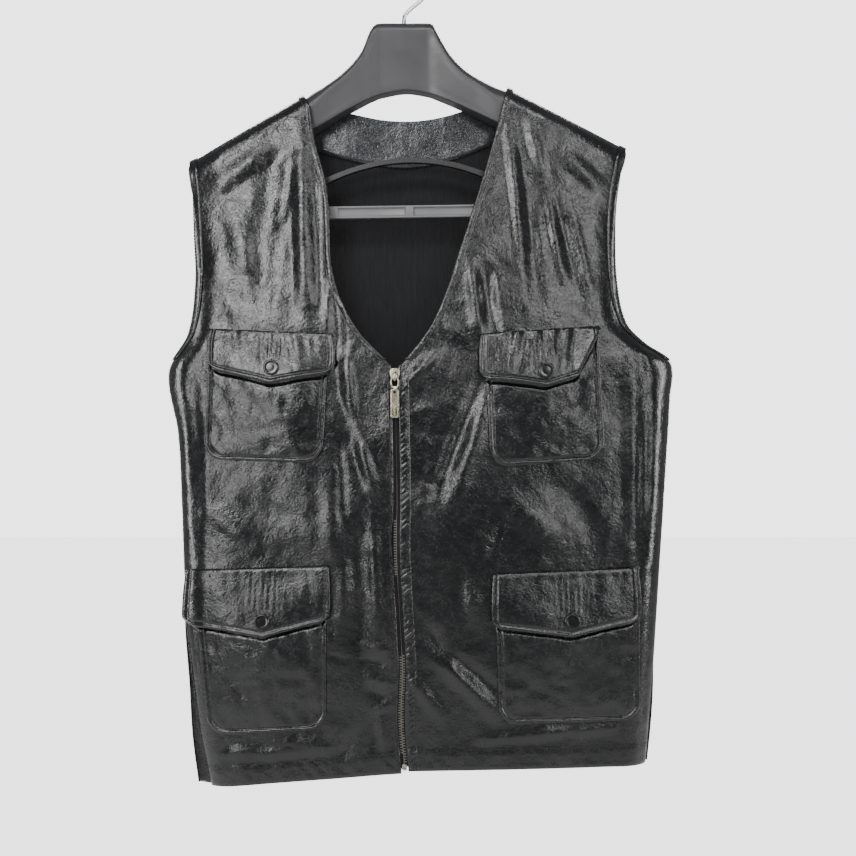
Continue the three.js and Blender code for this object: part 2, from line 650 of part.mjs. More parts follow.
// Zip slider with its crown, the pull that swings on it, and the stop at the bottom
function toSolid(geometry) {
  const bare = geometry.clone();
  bare.deleteAttribute('normal');
  bare.deleteAttribute('uv');
  const merged = mergeVertices(bare, 1e-4);
  return new wasm.Manifold(new wasm.Mesh({
    numProp: 3,
    vertProperties: new Float32Array(merged.attributes.position.array),
    triVerts: new Uint32Array(merged.index.array),
  }));
}

function fromSolid(solid) {
  const mesh = solid.getMesh();
  const geometry = new THREE.BufferGeometry();
  geometry.setAttribute('position', new THREE.Float32BufferAttribute(mesh.vertProperties, 3));
  geometry.setIndex(Array.from(mesh.triVerts));
  return geometry;
}

// Extrudes an outline drawn in x, z towards the viewer, from y = back to y = back - thick
function plate(shape, thick, backY, curveSegments = 8) {
  const geometry = new THREE.ExtrudeGeometry(shape, { depth: thick, bevelEnabled: false, curveSegments });
  geometry.rotateX(Math.PI / 2);
  geometry.translate(0, backY, 0);
  return geometry;
}

function roundedBox(x0, x1, z0, z1, r) {
  const s = new THREE.Shape();
  s.moveTo(x0 + r, z0);
  s.lineTo(x1 - r, z0);
  s.absarc(x1 - r, z0 + r, r, -Math.PI / 2, 0, false);
  s.lineTo(x1, z1 - r);
  s.absarc(x1 - r, z1 - r, r, 0, Math.PI / 2, false);
  s.lineTo(x0 + r, z1);
  s.absarc(x0 + r, z1 - r, r, Math.PI / 2, Math.PI, false);
  s.lineTo(x0, z0 + r);
  s.absarc(x0 + r, z0 + r, r, Math.PI, 1.5 * Math.PI, false);
  return s;
}

const sliderTop = neckEnd - 4;
const zipX = along(zipLine, 'x', sliderTop - sliderHigh / 2);
const besideZip = 4;
const sliderClear = 1.3;
const sliderBack = Math.min(
  frontDepth('right', zipX - besideZip, sliderTop - sliderHigh / 2),
  frontDepth('left', zipX + besideZip, sliderTop - sliderHigh / 2),
) - layGap - trim - sliderClear;
const sliderFace = sliderBack - sliderThick;
const crownOut = 3.9;
const crownWall = 1.5;
const crownRoot = 0.6;
const sliderRound = 4;
const crownTop = sliderTop - sliderRound;
const crownLow = crownTop - 6.6;
const crownHalf = 1;

const bodyShape = new THREE.Shape();
bodyShape.moveTo(zipX - sliderWide / 2, sliderTop - sliderRound);
bodyShape.quadraticCurveTo(zipX - sliderWide / 2, sliderTop, zipX, sliderTop);
bodyShape.quadraticCurveTo(zipX + sliderWide / 2, sliderTop, zipX + sliderWide / 2, sliderTop - sliderRound);
bodyShape.lineTo(zipX + sliderFoot / 2, sliderTop - sliderHigh);
bodyShape.lineTo(zipX - sliderFoot / 2, sliderTop - sliderHigh);
bodyShape.closePath();

// The crown is an arch over the pull's bar, drawn from the side
const archShape = new THREE.Shape();
archShape.moveTo(crownRoot, crownTop);
archShape.lineTo(-crownOut + crownWall, crownTop);
archShape.lineTo(-crownOut, crownTop - crownWall);
archShape.lineTo(-crownOut, crownLow + crownWall);
archShape.lineTo(-crownOut + crownWall, crownLow);
archShape.lineTo(crownRoot, crownLow);
archShape.lineTo(crownRoot, crownLow + crownWall);
archShape.lineTo(-crownOut + crownWall, crownLow + crownWall);
archShape.lineTo(-crownOut + crownWall, crownTop - crownWall);
archShape.lineTo(crownRoot, crownTop - crownWall);
archShape.closePath();
const arch = new THREE.ExtrudeGeometry(archShape, { depth: 2 * crownHalf, bevelEnabled: false });
arch.applyMatrix4(new THREE.Matrix4().set(
  0, 0, 1, zipX - crownHalf,
  1, 0, 0, sliderFace,
  0, 1, 0, 0,
  0, 0, 0, 1,
));
const slider = toSolid(plate(bodyShape, sliderThick, sliderBack)).add(toSolid(arch));
add('zip_slider', 'metal', fromSolid(slider));

// The pull: an eye round the crown's leg, then a flat tab with a small hole at its top
const pullY = sliderFace - (crownOut - crownWall) / 2;
const pullTop = crownLow + crownWall + 2;
const pullRim = 1.6;
const pullShape = roundedBox(zipX - pullWide / 2, zipX + pullWide / 2, pullTop - pullHigh, pullTop, pullRim);
const eye = new THREE.Path();
const eyeRadius = 2.4;
const eyeLow = pullTop - 9;
eye.absarc(zipX, pullTop - pullRim - eyeRadius, eyeRadius, 0, Math.PI, false);
eye.lineTo(zipX - eyeRadius, eyeLow);
eye.absarc(zipX, eyeLow, eyeRadius, Math.PI, 2 * Math.PI, false);
pullShape.holes.push(eye);
const smallHole = new THREE.Path();
smallHole.absarc(zipX, eyeLow - 6, 1.1, 0, 2 * Math.PI, true);
pullShape.holes.push(smallHole);
add('zip_pull', 'metal', plate(pullShape, pullThick, pullY + pullThick / 2, 5));

const stopZ = -797;
const stopHalf = { wide: 2.4, high: 3 };
const stopThick = 2.6;
const stopX = along(zipLine, 'x', stopZ);
const stopBack = frontDepth('left', stopX + besideZip, stopZ) + leather + layGap - seat;
const stopShape = roundedBox(
  stopX - stopHalf.wide, stopX + stopHalf.wide, stopZ - stopHalf.high, stopZ + stopHalf.high, 1);
add('zip_stop', 'metal', plate(stopShape, stopThick, stopBack, 3));

// Hanger body: round-topped sections in a row, closed at both tips
const archPoints = 9;
const lowerHalf = 0.94; // the arms narrow a little towards their lower rim
function hangerBody() {
  const ring = archPoints + 2;
  const flat = [];
  for (const s of hangerSections) {
    flat.push(s.x, -lowerHalf * s.half, s.low);
    for (let k = 0; k < archPoints; k += 1) {
      const a = Math.PI * k / (archPoints - 1);
      flat.push(s.x, -s.half * Math.cos(a), s.top - crown * (1 - Math.sin(a)));
    }
    flat.push(s.x, lowerHalf * s.half, s.low);
  }
  const index = [];
  const last = (hangerSections.length - 1) * ring;
  for (let i = 0; i < hangerSections.length - 1; i += 1) {
    for (let k = 0; k < ring; k += 1) {
      const a = i * ring + k;
      const b = i * ring + (k + 1) % ring;
      index.push(a, a + ring, b, b, a + ring, b + ring);
    }
  }
  for (let k = 1; k < ring - 1; k += 1) {
    index.push(0, k, k + 1);
    index.push(last, last + k + 1, last + k);
  }
  const geometry = new THREE.BufferGeometry();
  geometry.setAttribute('position', new THREE.Float32BufferAttribute(flat, 3));
  geometry.setIndex(index);
  return geometry;
}
add('hanger_body', 'plastic', hangerBody());

// Trouser bar: a straight bar whose ends turn up to the arms
const barEnd = 168;
const barPost = 10;
const barMiddle = -250;
const barTilt = 0.014;
const barShape = new THREE.Shape();
const barZ = (x) => barMiddle + barTilt * x;
const armLow = (x) => across(hangerSections, 'low', x) - seat;
barShape.moveTo(-barEnd, barZ(-barEnd) - barHigh / 2);
barShape.lineTo(barEnd, barZ(barEnd) - barHigh / 2);
barShape.lineTo(barEnd, armLow(barEnd));
barShape.lineTo(barEnd - barPost, armLow(barEnd - barPost));
barShape.lineTo(barEnd - barPost, barZ(barEnd - barPost) + barHigh / 2);
barShape.lineTo(-barEnd + barPost, barZ(-barEnd + barPost) + barHigh / 2);
barShape.lineTo(-barEnd + barPost, armLow(-barEnd + barPost));
barShape.lineTo(-barEnd, armLow(-barEnd));
barShape.closePath();
add('trouser_bar', 'plastic', plate(barShape, barDeep, barDeep / 2));

// The thin bow arches over the bar and stands on it at both ends
const bowEnd = 132;
const bowPeak = -196.5;
const bowX = 6;
const bowFoot = barMiddle + barHigh / 2 + seat;
const bowSteps = 24;
const bowNarrow = 9; // the lower line ends this far inside the upper one
const bowSeat = 0.1;
const bowDrop = (t) => (bowPeak - bowFoot) * t * t;
const bowPoint = (x, z) => new THREE.Vector2(bowX + x, z + barTilt * (bowX + x) + bowSeat);
const bowUpper = [];
const bowLower = [];
for (let k = 0; k <= bowSteps; k += 1) {
  const t = 2 * k / bowSteps - 1;
  bowUpper.push(bowPoint(bowEnd * t, bowPeak - bowDrop(t)));
  const x = (bowEnd - bowNarrow) * t;
  const high = bowHigh * (1 - 0.9 * (x / bowEnd) ** 2);
  if (k > 0 && k < bowSteps) bowLower.unshift(bowPoint(x, bowPeak - bowDrop(t) - high));
}
const bowShape = new THREE.Shape([...bowUpper, ...bowLower]);
add('hanger_bow', 'plastic', plate(bowShape, bowDeep, bowDeep / 2));

// Wire hook: a stem out of the plate, then most of a circle over the rail
const hookMiddle = hookInner + wire;
const hookPath = [new THREE.Vector3(0, 0, plateTop + seat), new THREE.Vector3(0, 0, plateTop + 7)];
for (let deg = -60; deg <= 200; deg += 20) {
  const a = THREE.MathUtils.degToRad(deg);
  hookPath.push(new THREE.Vector3(hookMiddle * Math.cos(a), 0, -hookInner + hookMiddle * Math.sin(a)));
}
const section = new THREE.Shape();
section.absarc(0, 0, wire, 0, 2 * Math.PI, false);
add('hook', 'chrome', new THREE.ExtrudeGeometry(section, {
  steps: 44, curveSegments: 5, bevelEnabled: false, extrudePath: new THREE.CatmullRomCurve3(hookPath),
}));

export default vest;
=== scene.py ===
# A black leather vest on a broad plastic hanger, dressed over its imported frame.
# Sizes below are in millimetres; meshes are made in metres.
import json
from math import ceil, cos, floor, hypot, pi, radians, sin, sqrt

import bmesh
import bpy
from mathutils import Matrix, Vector, noise

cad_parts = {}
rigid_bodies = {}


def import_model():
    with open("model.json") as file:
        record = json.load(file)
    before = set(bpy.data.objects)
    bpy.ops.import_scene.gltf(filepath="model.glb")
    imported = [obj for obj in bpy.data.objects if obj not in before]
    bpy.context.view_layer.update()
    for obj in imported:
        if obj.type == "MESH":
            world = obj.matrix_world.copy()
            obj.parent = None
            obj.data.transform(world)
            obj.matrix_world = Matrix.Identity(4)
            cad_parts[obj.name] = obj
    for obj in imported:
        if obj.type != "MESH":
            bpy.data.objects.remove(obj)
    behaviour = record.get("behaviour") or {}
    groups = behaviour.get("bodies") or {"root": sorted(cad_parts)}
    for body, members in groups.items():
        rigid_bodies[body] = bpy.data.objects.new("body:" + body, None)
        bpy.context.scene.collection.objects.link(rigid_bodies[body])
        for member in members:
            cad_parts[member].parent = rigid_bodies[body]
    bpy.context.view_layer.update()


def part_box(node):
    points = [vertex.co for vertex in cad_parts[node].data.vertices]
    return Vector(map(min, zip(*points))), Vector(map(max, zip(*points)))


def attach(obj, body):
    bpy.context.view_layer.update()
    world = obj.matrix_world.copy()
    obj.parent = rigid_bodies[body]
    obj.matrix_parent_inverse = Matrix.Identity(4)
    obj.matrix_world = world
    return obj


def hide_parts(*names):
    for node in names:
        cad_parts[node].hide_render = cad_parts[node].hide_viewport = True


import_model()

mm = 0.001


def clamp(value, low, high):
    return min(max(value, low), high)


def mix(a, b, t):
    return a + (b - a) * t


def ease(t):
    t = clamp(t, 0, 1)
    return t * t * (3 - 2 * t)


def rows(names, *table):  # a short table with named columns
    return [dict(zip(names.split(), line)) for line in table]


def along(table, column, at, key="z"):  # a smooth line through one column of a table, by its z or x
    sign = 1 if table[-1][key] > table[0][key] else -1
    i = 0
    while i < len(table) - 2 and (at - table[i + 1][key]) * sign > 0:
        i += 1

    def slope(k):
        a, b = table[max(k - 1, 0)], table[min(k + 1, len(table) - 1)]
        return (b[column] - a[column]) / (b[key] - a[key])

    a, b = table[i], table[i + 1]
    span = b[key] - a[key]
    t = clamp((at - a[key]) / span, 0, 1)
    t2, t3 = t * t, t * t * t
    return ((2 * t3 - 3 * t2 + 1) * a[column] + (t3 - 2 * t2 + t) * slope(i) * span
            + (3 * t2 - 2 * t3) * b[column] + (t3 - t2) * slope(i + 1) * span)


def across(table, column, x):  # a straight line through one column, by x
    i = 0
    while i < len(table) - 2 and x > table[i + 1]["x"]:
        i += 1
    a, b = table[i], table[i + 1]
    return mix(a[column], b[column], clamp((x - a["x"]) / (b["x"] - a["x"]), 0, 1))


# Pattern of the vest: the same measures as the frame's
cut = dict(leather=1.6, trim=1.2, lining=0.8, seamHalfGap=0.2, layGap=0.6, crown=16, armGap=3.2,
           backLayers=4, rollWide=26, settle=130, zipHalfGap=3.5, neckEnd=-404, bandWide=6.4,
           stripWide=10, tapeWide=13, underarm=-405, backNeckZ=-155)
shoulder = {
    "right": dict(neckX=-100, neckZ=-135, tipX=-213, tipZ=-201),
    "left": dict(neckX=103, neckZ=-127, tipX=221, tipZ=-188),
}
hem = {"right": dict(inner=-803, outer=-818), "left": dict(inner=-801, outer=-797)}
neck = {
    "right": rows("z x", (-135, -100), (-150, -92), (-184, -87), (-225, -76), (-265, -73), (-305, -71),
                  (-340, -61), (-373, -42), (-404, -12)),
    "left": rows("z x", (-127, 103), (-141, 99), (-165, 93), (-215, 79), (-257, 66), (-294, 54),
                 (-329, 43), (-365, 27), (-389, 10), (-404, -4)),
}
zipLine = rows("z x", (-404, -8.5), (-468, -7.2), (-536, -6.2), (-585, -6.7), (-672, -2.3),
               (-702, -0.8), (-750, -2.3), (-803, 1.6))
outer = {
    "right": rows("z x y", (-201, -213, -18), (-240, -208, -17), (-281, -206, -15), (-322, -205, -13),
                  (-373, -213, -8), (-410, -235, 2), (-471, -226, 2), (-541, -222, 1), (-607, -219, -3),
                  (-663, -214, -10), (-716, -207, -14), (-769, -200, -15), (-819, -190, -14)),
    "left": rows("z x y", (-188, 221, -18), (-212, 215, -17), (-238, 210, -16), (-273, 208, -15),
                 (-322, 210, -13), (-363, 220, -9), (-383, 240, -4), (-400, 266, 2), (-438, 266, 3),
                 (-506, 262, 3), (-593, 256, 2), (-699, 249, 0), (-769, 243, -4), (-798, 240, -6)),
}
backProud = {
    "right": rows("z x", (-201, 0), (-600, 0), (-663, 4), (-727, 7), (-817, 14)),
    "left": rows("z x", (-188, 0), (-690, 0), (-735, 3), (-798, 3)),
}
backEdge = rows("z y", (-188, 17), (-300, 17), (-370, 12), (-405, 3))
frontProfile = rows("z y", (-130, 22), (-250, 27), (-400, 34), (-520, 37), (-650, 38), (-820, 34))
backProfile = rows("z y", (-130, 25), (-260, 27), (-500, 26), (-820, 27))
plateTop = -62
hangerSections = rows(
    "x top low half",
    (-209, None, -222, 12), (-202, None, -221, 16), (-180, None, -213, 18.5), (-140, None, -195, 18),
    (-100, None, -176, 16), (-90, -131.5, -170, 15.5), (-79, -125, -164, 15), (-59, -110, -152, 14),
    (-42, -90, -143, 13), (-34, -70, -139, 12), (-29, plateTop - 1.5, -137, 11.5), (-24, plateTop, -135, 11),
    (2, plateTop, -130.5, 11), (24, plateTop, -133.5, 11), (29, plateTop - 1.5, -135, 11.5),
    (33, -72, -136.5, 12), (47, -95, -142, 13), (65, -112, -150, 14), (91, -126, -162.5, 15.5),
    (103, None, -168, 16), (140, None, -185, 18), (180, None, -201, 18.5), (208, None, -208, 16),
    (216, None, -209, 12))

# Folds and creases: a ridge (high above 0) or a trough (below 0) along a line from x0, z0 to x1, z1
foldNames = "x0 z0 x1 z1 wide high"
folds = {
    "right": rows(
        foldNames,
        (-59, -390, -50, -468, 11, 3.4), (-50, -468, -28, -528, 11, 3.0), (-66, -325, -62, -420, 11, -2.8),
        (-62, -420, -40, -520, 10, -2.6), (-101, -166, -97, -366, 12, 2.8), (-84, -240, -80, -352, 9, -1.8),
        (-128, -176, -140, -345, 20, -2.2), (-192, -232, -116, -181, 14, 2.4),
        (-168, -250, -150, -330, 16, 1.8), (-206, -425, -203, -594, 12, -3.0),
        (-73, -505, -70, -590, 14, 1.6), (-104, -352, -82, -354, 5, -1.0), (-76, -688, -54, -692, 4, -1.1),
        (-42, -691, -14, -697, 4.5, -1.6), (-38, -678, -12, -683, 5, 1.5), (-36, -708, -10, -716, 5.5, 1.7),
        (-35, -722, -14, -730, 4, -1.4), (-32, -741, -12, -736, 5, 1.4), (-22, -745, -19, -778, 4.5, 1.6),
        (-30, -752, -28, -780, 4, -1.2), (-48, -560, -38, -660, 15, -2.0), (-30, -540, -26, -650, 9, 1.6),
        (-170, -788, -60, -776, 7, 1.5), (-180, -786, -138, -777, 6, 1.3), (-130, -774, -82, -772, 5, 1.2),
        (-196, -540, -150, -575, 16, 1.5), (-150, -540, -96, -560, 13, -1.2),
        (-62, -470, -58, -560, 8, -1.2), (-176, -338, -160, -362, 9, 1.1),
        (-110, -212, -118, -262, 6, -0.9), (-57, -600, -61, -668, 10, 1.2), (-44, -760, -64, -790, 7, -1.0)),
    "left": rows(
        foldNames,
        (6, -421, 35, -390, 9, 3.6), (76, -416, 28, -545, 11, -3.6), (84, -440, 46, -550, 9, 1.7),
        (80, -312, 88, -371, 11, -2.8), (66, -304, 73, -370, 9, 2.4), (103, -166, 118, -293, 10, 2.6),
        (124, -164, 137, -217, 9, 1.8), (158, -197, 199, -232, 12, 2.2), (141, -234, 158, -327, 7, 1.3),
        (164, -244, 184, -332, 7, 1.2), (150, -240, 172, -335, 6, -1.1), (120, -250, 132, -345, 12, -1.8),
        (10, -450, 28, -444, 4.5, 1.4), (10, -474, 30, -484, 5, 1.4), (11, -515, 32, -521, 4.5, -1.5),
        (11, -544, 30, -536, 5, 1.3), (14, -560, 34, -572, 4, -1.1), (14, -585, 30, -590, 5, 1.0),
        (36, -692, 90, -745, 11, 3.4), (48, -686, 98, -728, 9, -1.8), (12, -713, 36, -747, 10, 2.6),
        (20, -654, 40, -690, 9, -1.6), (94, -531, 153, -580, 20, 1.9), (153, -522, 192, -575, 18, -1.8),
        (224, -395, 225, -594, 11, 2.2), (238, -440, 236, -594, 9, -2.2), (74, -770, 112, -766, 6, 1.7),
        (108, -768, 172, -760, 7, 1.8), (168, -763, 210, -759, 6, 1.5), (58, -610, 76, -660, 12, 1.4),
        (100, -548, 84, -598, 9, -1.2), (230, -350, 244, -420, 9, 1.6), (40, -352, 56, -384, 8, 1.4),
        (54, -586, 60, -640, 8, -1.0)),
    "back": rows(
        foldNames,
        (-120, -240, -90, -470, 34, 3.0), (110, -230, 70, -450, 34, -3.0), (-20, -480, 10, -740, 40, 3.2),
        (150, -500, 165, -760, 32, 2.6), (-150, -520, -140, -760, 32, -2.6),
        (-70, -230, -20, -330, 13, 1.8), (86, -226, 40, -335, 12, 1.6), (-186, -250, -150, -380, 14, 2.0),
        (190, -240, 160, -372, 14, 2.0), (-215, -440, -120, -500, 12, 2.2),
        (-205, -470, -110, -545, 11, -1.8), (240, -430, 140, -496, 12, 2.2),
        (236, -462, 150, -536, 10, -1.6), (-60, -520, -84, -700, 14, 1.7), (60, -540, 84, -716, 13, -1.6),
        (-30, -610, 46, -640, 9, 1.2), (100, -640, 190, -668, 10, 1.3), (-180, -640, -96, -672, 10, 1.2),
        (-150, -778, -40, -783, 8, 1.4), (30, -780, 190, -772, 8, 1.4)),
}
waves = rows("high alongX alongZ", (1.7, 66, 105), (0.75, 29, 42), (0.24, 12, 15))  # slow unevenness


def shoulderZ(side, x):
    s = shoulder[side]
    return s["neckZ"] + (x - s["neckX"]) * (s["tipZ"] - s["neckZ"]) / (s["tipX"] - s["neckX"])


for section in hangerSections:
    if section["top"] is None:
        side = "right" if section["x"] < 0 else "left"
        section["top"] = shoulderZ(side, section["x"]) - cut["armGap"] - 0.3


def overArm(x):
    return across(hangerSections, "half", x) + cut["armGap"] + 0.3


def shoulderRound(drop):
    t = clamp(1 - drop / (cut["crown"] + cut["armGap"]), 0, 1)
    return sqrt(1 - t * t)


def foldHeight(table, x, z):
    total = 0
    for f in table:
        if abs(x - (f["x0"] + f["x1"]) / 2) > abs(f["x1"] - f["x0"]) / 2 + f["wide"]:
            continue
        dx, dz = f["x1"] - f["x0"], f["z1"] - f["z0"]
        t = clamp(((x - f["x0"]) * dx + (z - f["z0"]) * dz) / (dx * dx + dz * dz), 0, 1)
        away = hypot(x - f["x0"] - dx * t, z - f["z0"] - dz * t) / f["wide"]
        if away < 1:
            total += f["high"] * (0.3 + 0.7 * sin(pi * t)) * (1 - away * away) ** 2
    return total


def waviness(x, z, seed):
    return sum(w["high"] * noise.noise(Vector((x / w["alongX"], z / w["alongZ"], seed + 7 * i)))
               for i, w in enumerate(waves))


# The turned-up hem is a little thicker, with a stitched line over it and small puckers between
hemTurn = dict(high=20, thick=0.7, groove=0.7, pucker=0.5)


def hemZ(side, x):
    h = hem[side]
    edge = along(outer[side], "x", h["outer"])
    return mix(h["inner"], h["outer"], clamp((x + 3) / (edge + 3), 0, 1))


def hemRelief(bottom, x, z):
    up = z - bottom
    turn = hemTurn["thick"] * ease((hemTurn["high"] + 3 - up) / 3)
    groove = hemTurn["groove"] * max(0, 1 - abs(up - hemTurn["high"]) / 2.2)
    gather = sin(0.42 * x + 0.5 * up + 2 * sin(0.06 * x))
    gather *= max(0, sin(pi * clamp(up / hemTurn["high"], 0, 1)))
    amount = 0.4 + 0.6 * noise.noise(Vector((x / 55, 3, 1)))
    return turn - groove + hemTurn["pucker"] * gather * amount


def frontDepth(side, x, z, detail=True):
    drop = shoulderZ(side, x) - z
    hang = mix(overArm(x), along(frontProfile, "y", z) - 7 * (x / 230) ** 2, ease(drop / cut["settle"]))
    edgeX = along(outer[side], "x", z)
    near = clamp(1 - abs(edgeX - x) / cut["rollWide"], 0, 1)
    roll = 1 - sqrt(1 - near * near)
    y = mix(-hang, along(outer[side], "y", z), roll)
    fold = foldHeight(folds[side], x, z) + waviness(x, z, 1 if side == "right" else 5)
    fold *= (1 - near) * ease(drop / 30)
    if detail:
        fold += hemRelief(hemZ(side, x), x, z)
    return y * shoulderRound(drop) - fold - cut["seamHalfGap"]


def sideOf(x):
    return "right" if x < 1 else "left"


def backEdgeX(side, z):
    sign = -1 if side == "right" else 1
    return along(outer[side], "x", z) + sign * along(backProud[side], "x", z)


def backEdgeY(side, z):
    seam = along(outer[side], "y", z) + 2 * cut["seamHalfGap"]
    return mix(seam, along(backEdge, "y", z), ease((z - cut["underarm"]) / 30))


def backTopZ(x):
    r, l = shoulder["right"], shoulder["left"]
    if x < r["neckX"]:
        return shoulderZ("right", x)
    if x > l["neckX"]:
        return shoulderZ("left", x)
    t = (x - r["neckX"]) / (l["neckX"] - r["neckX"])
    return mix(mix(r["neckZ"], l["neckZ"], t), cut["backNeckZ"], sin(pi * t))


def backDepth(x, z):
    side = sideOf(x)
    drop = max(across(hangerSections, "top", x) + cut["armGap"] + 0.3, backTopZ(x)) - z
    hang = mix(overArm(x) + cut["backLayers"], along(backProfile, "y", z) - 4 * (x / 230) ** 2,
               ease(drop / cut["settle"]))
    near = clamp(1 - abs(backEdgeX(side, z) - x) / cut["rollWide"], 0, 1)
    y = mix(hang, backEdgeY(side, z), 1 - sqrt(1 - near * near))
    fold = (foldHeight(folds["back"], x, z) + waviness(x, z, 9) * ease(drop / 40)) * (1 - near)
    bottom = mix(hem["right"]["outer"], hem["left"]["outer"], clamp((x + 200) / 440, 0, 1))
    return y * shoulderRound(drop) + fold + hemRelief(bottom, x, z) * 0.6 + cut["seamHalfGap"]


# A grid of points with outward normals, and a closed wall over it
class Grid:
    def __init__(self, columns, rowCount, facing, place):
        self.columns, self.rowCount = columns, rowCount
        self.points = [[place(c, r) for c in range(columns + 1)] for r in range(rowCount + 1)]
        self.normals = []
        for r in range(rowCount + 1):
            line = []
            for c in range(columns + 1):
                u = self.points[r][min(c + 1, columns)] - self.points[r][max(c - 1, 0)]
                v = self.points[min(r + 1, rowCount)][c] - self.points[max(r - 1, 0)][c]
                line.append(u.cross(v).normalized())
            self.normals.append(line)
        self.turned = self.normals[rowCount // 2][columns // 2].y * facing < 0
        if self.turned:
            self.normals = [[-n for n in line] for line in self.normals]

    def at(self, c, r, lift=0):
        c0 = int(clamp(floor(c), 0, self.columns - 1))
        r0 = int(clamp(floor(r), 0, self.rowCount - 1))

        def blend(table):
            top = table[r0][c0].lerp(table[r0][c0 + 1], c - c0)
            return top.lerp(table[r0 + 1][c0].lerp(table[r0 + 1][c0 + 1], c - c0), r - r0)

        return blend(self.points) + blend(self.normals).normalized() * lift

    def area(self):
        total = 0
        for r in range(self.rowCount):
            for c in range(self.columns):
                p = self.points
                total += (p[r + 1][c + 1] - p[r][c]).cross(p[r + 1][c] - p[r][c + 1]).length / 2
        return total


def newMesh(name, points, faces, smooth=True):
    mesh = bpy.data.meshes.new(name)
    mesh.from_pydata([tuple(p) for p in points], [], faces)
    mesh.polygons.foreach_set("use_smooth", [smooth] * len(mesh.polygons))
    mesh.update()
    piece = bpy.data.objects.new(name, mesh)
    bpy.context.collection.objects.link(piece)
    return piece


def onlySelect(piece):
    bpy.ops.object.select_all(action="DESELECT")
    piece.select_set(True)
    bpy.context.view_layer.objects.active = piece


def openAll(piece):  # into edit mode with all of it selected
    onlySelect(piece)
    bpy.ops.object.mode_set(mode="EDIT")
    bpy.ops.mesh.select_all(action="SELECT")


def faceOutwards():
    bpy.ops.mesh.select_all(action="SELECT")
    bpy.ops.mesh.normals_make_consistent(inside=False)


def wall(name, grid, low, high, squareTop=None, squareSides=()):
    columns, count = grid.columns, grid.rowCount
    points = []
    for lift in (high, low):
        for r in range(count + 1):
            for c in range(columns + 1):
                height = lift(c, r) if callable(lift) else lift
                p = grid.points[r][c] + grid.normals[r][c] * height
                if (squareTop and r == 0 and squareTop(grid.points[0][c])) or c in squareSides:
                    p.y = grid.points[r][c].y
                points.append(p * mm)
    layer = (count + 1) * (columns + 1)

    def at(c, r, face):
        return face * layer + r * (columns + 1) + c

    faces = []
    for r in range(count):
        for c in range(columns):
            faces.append((at(c, r, 0), at(c + 1, r, 0), at(c + 1, r + 1, 0), at(c, r + 1, 0)))
            faces.append((at(c, r, 1), at(c, r + 1, 1), at(c + 1, r + 1, 1), at(c + 1, r, 1)))
        faces.append((at(0, r, 0), at(0, r + 1, 0), at(0, r + 1, 1), at(0, r, 1)))
        faces.append((at(columns, r, 0), at(columns, r, 1), at(columns, r + 1, 1), at(columns, r + 1, 0)))
    for c in range(columns):
        faces.append((at(c, 0, 0), at(c, 0, 1), at(c + 1, 0, 1), at(c + 1, 0, 0)))
        faces.append((at(c, count, 0), at(c + 1, count, 0), at(c + 1, count, 1), at(c, count, 1)))
    if grid.turned:
        faces = [f[::-1] for f in faces]
    return newMesh(name, points, faces)


# Panels: rows follow the shoulder's rounding, then run on down to the hem
fine = dict(roundRows=12, rows=200, flat=62, roll=14, backShoulder=20, backNeck=34)


def rowZ(top, low, r, count):
    roundRows, over = fine["roundRows"], cut["crown"] + cut["armGap"]
    if r <= roundRows:
        return top - over * (1 - cos(pi * r / roundRows / 2))
    return mix(top - over, low, (r - roundRows) / (count - roundRows))


def innerX(side, z):
    sign = -1 if side == "right" else 1
    if z > cut["neckEnd"]:
        return along(neck[side], "x", z)
    return along(zipLine, "x", z) + sign * cut["zipHalfGap"]


def frontPlace(side, c, r):
    s, h = shoulder[side], hem[side]
    innerZ = rowZ(s["neckZ"], h["inner"], r, fine["rows"])
    outerZ = rowZ(s["tipZ"], h["outer"], r, fine["rows"])
    inX, outX = innerX(side, innerZ), along(outer[side], "x", outerZ)
    share = cut["rollWide"] / abs(outX - inX)
    if c <= fine["flat"]:
        t = (c / fine["flat"]) * (1 - share)
    else:
        t = 1 - share * (1 - sin(pi * (c - fine["flat"]) / fine["roll"] / 2))
    x, z = mix(inX, outX, t), mix(innerZ, outerZ, t)
    return Vector((x, frontDepth(side, x, z), z))


print("panels")
fronts, hides, sheets = {}, [], []


def cutHide(piece, node, grid=None, flat=None, rests=None):  # a leather piece, its node and flat cut
    hides.append((piece, node))
    if grid:
        sheets.append((piece, grid, flat, rests))


frontColumns = fine["flat"] + fine["roll"]
for side in ("right", "left"):
    grid = Grid(frontColumns, fine["rows"], -1, lambda c, r: frontPlace(side, c, r))
    fronts[side] = grid
    panel = wall(f"hide_front_{side}", grid, -cut["leather"], 0, lambda p: True, (frontColumns,))
    cutHide(panel, f"{side}_front", grid, (0.29, 0.72), "hanger_body")

backFlat = 2 * fine["backShoulder"] + fine["backNeck"]
backColumns = backFlat + 2 * fine["roll"] + 2


def backShare(c):
    low = shoulder["right"]["tipX"] + cut["rollWide"]
    high = shoulder["left"]["tipX"] - cut["rollWide"]
    neckFrom = (shoulder["right"]["neckX"] - low) / (high - low)
    neckTo = (shoulder["left"]["neckX"] - low) / (high - low)
    n, m = fine["backShoulder"], fine["backNeck"]
    if c <= n:
        return neckFrom * c / n
    if c <= n + m:
        return mix(neckFrom, neckTo, (1 - cos(pi * (c - n) / m)) / 2)
    return mix(neckTo, 1, (c - n - m) / n)


def backX(c, left, right):
    k = c - 1 - fine["roll"]

    def step(n):
        return cut["rollWide"] * (1 - sin(pi * n / fine["roll"] / 2))

    if k < 0:
        return left + step(min(-k, fine["roll"]))
    if k > backFlat:
        return right - step(min(k - backFlat, fine["roll"]))
    return mix(left + cut["rollWide"], right - cut["rollWide"], backShare(k))


sideTuck = dict(over=40, back=5, armhole=2)  # how the back's outermost row turns in under the arm


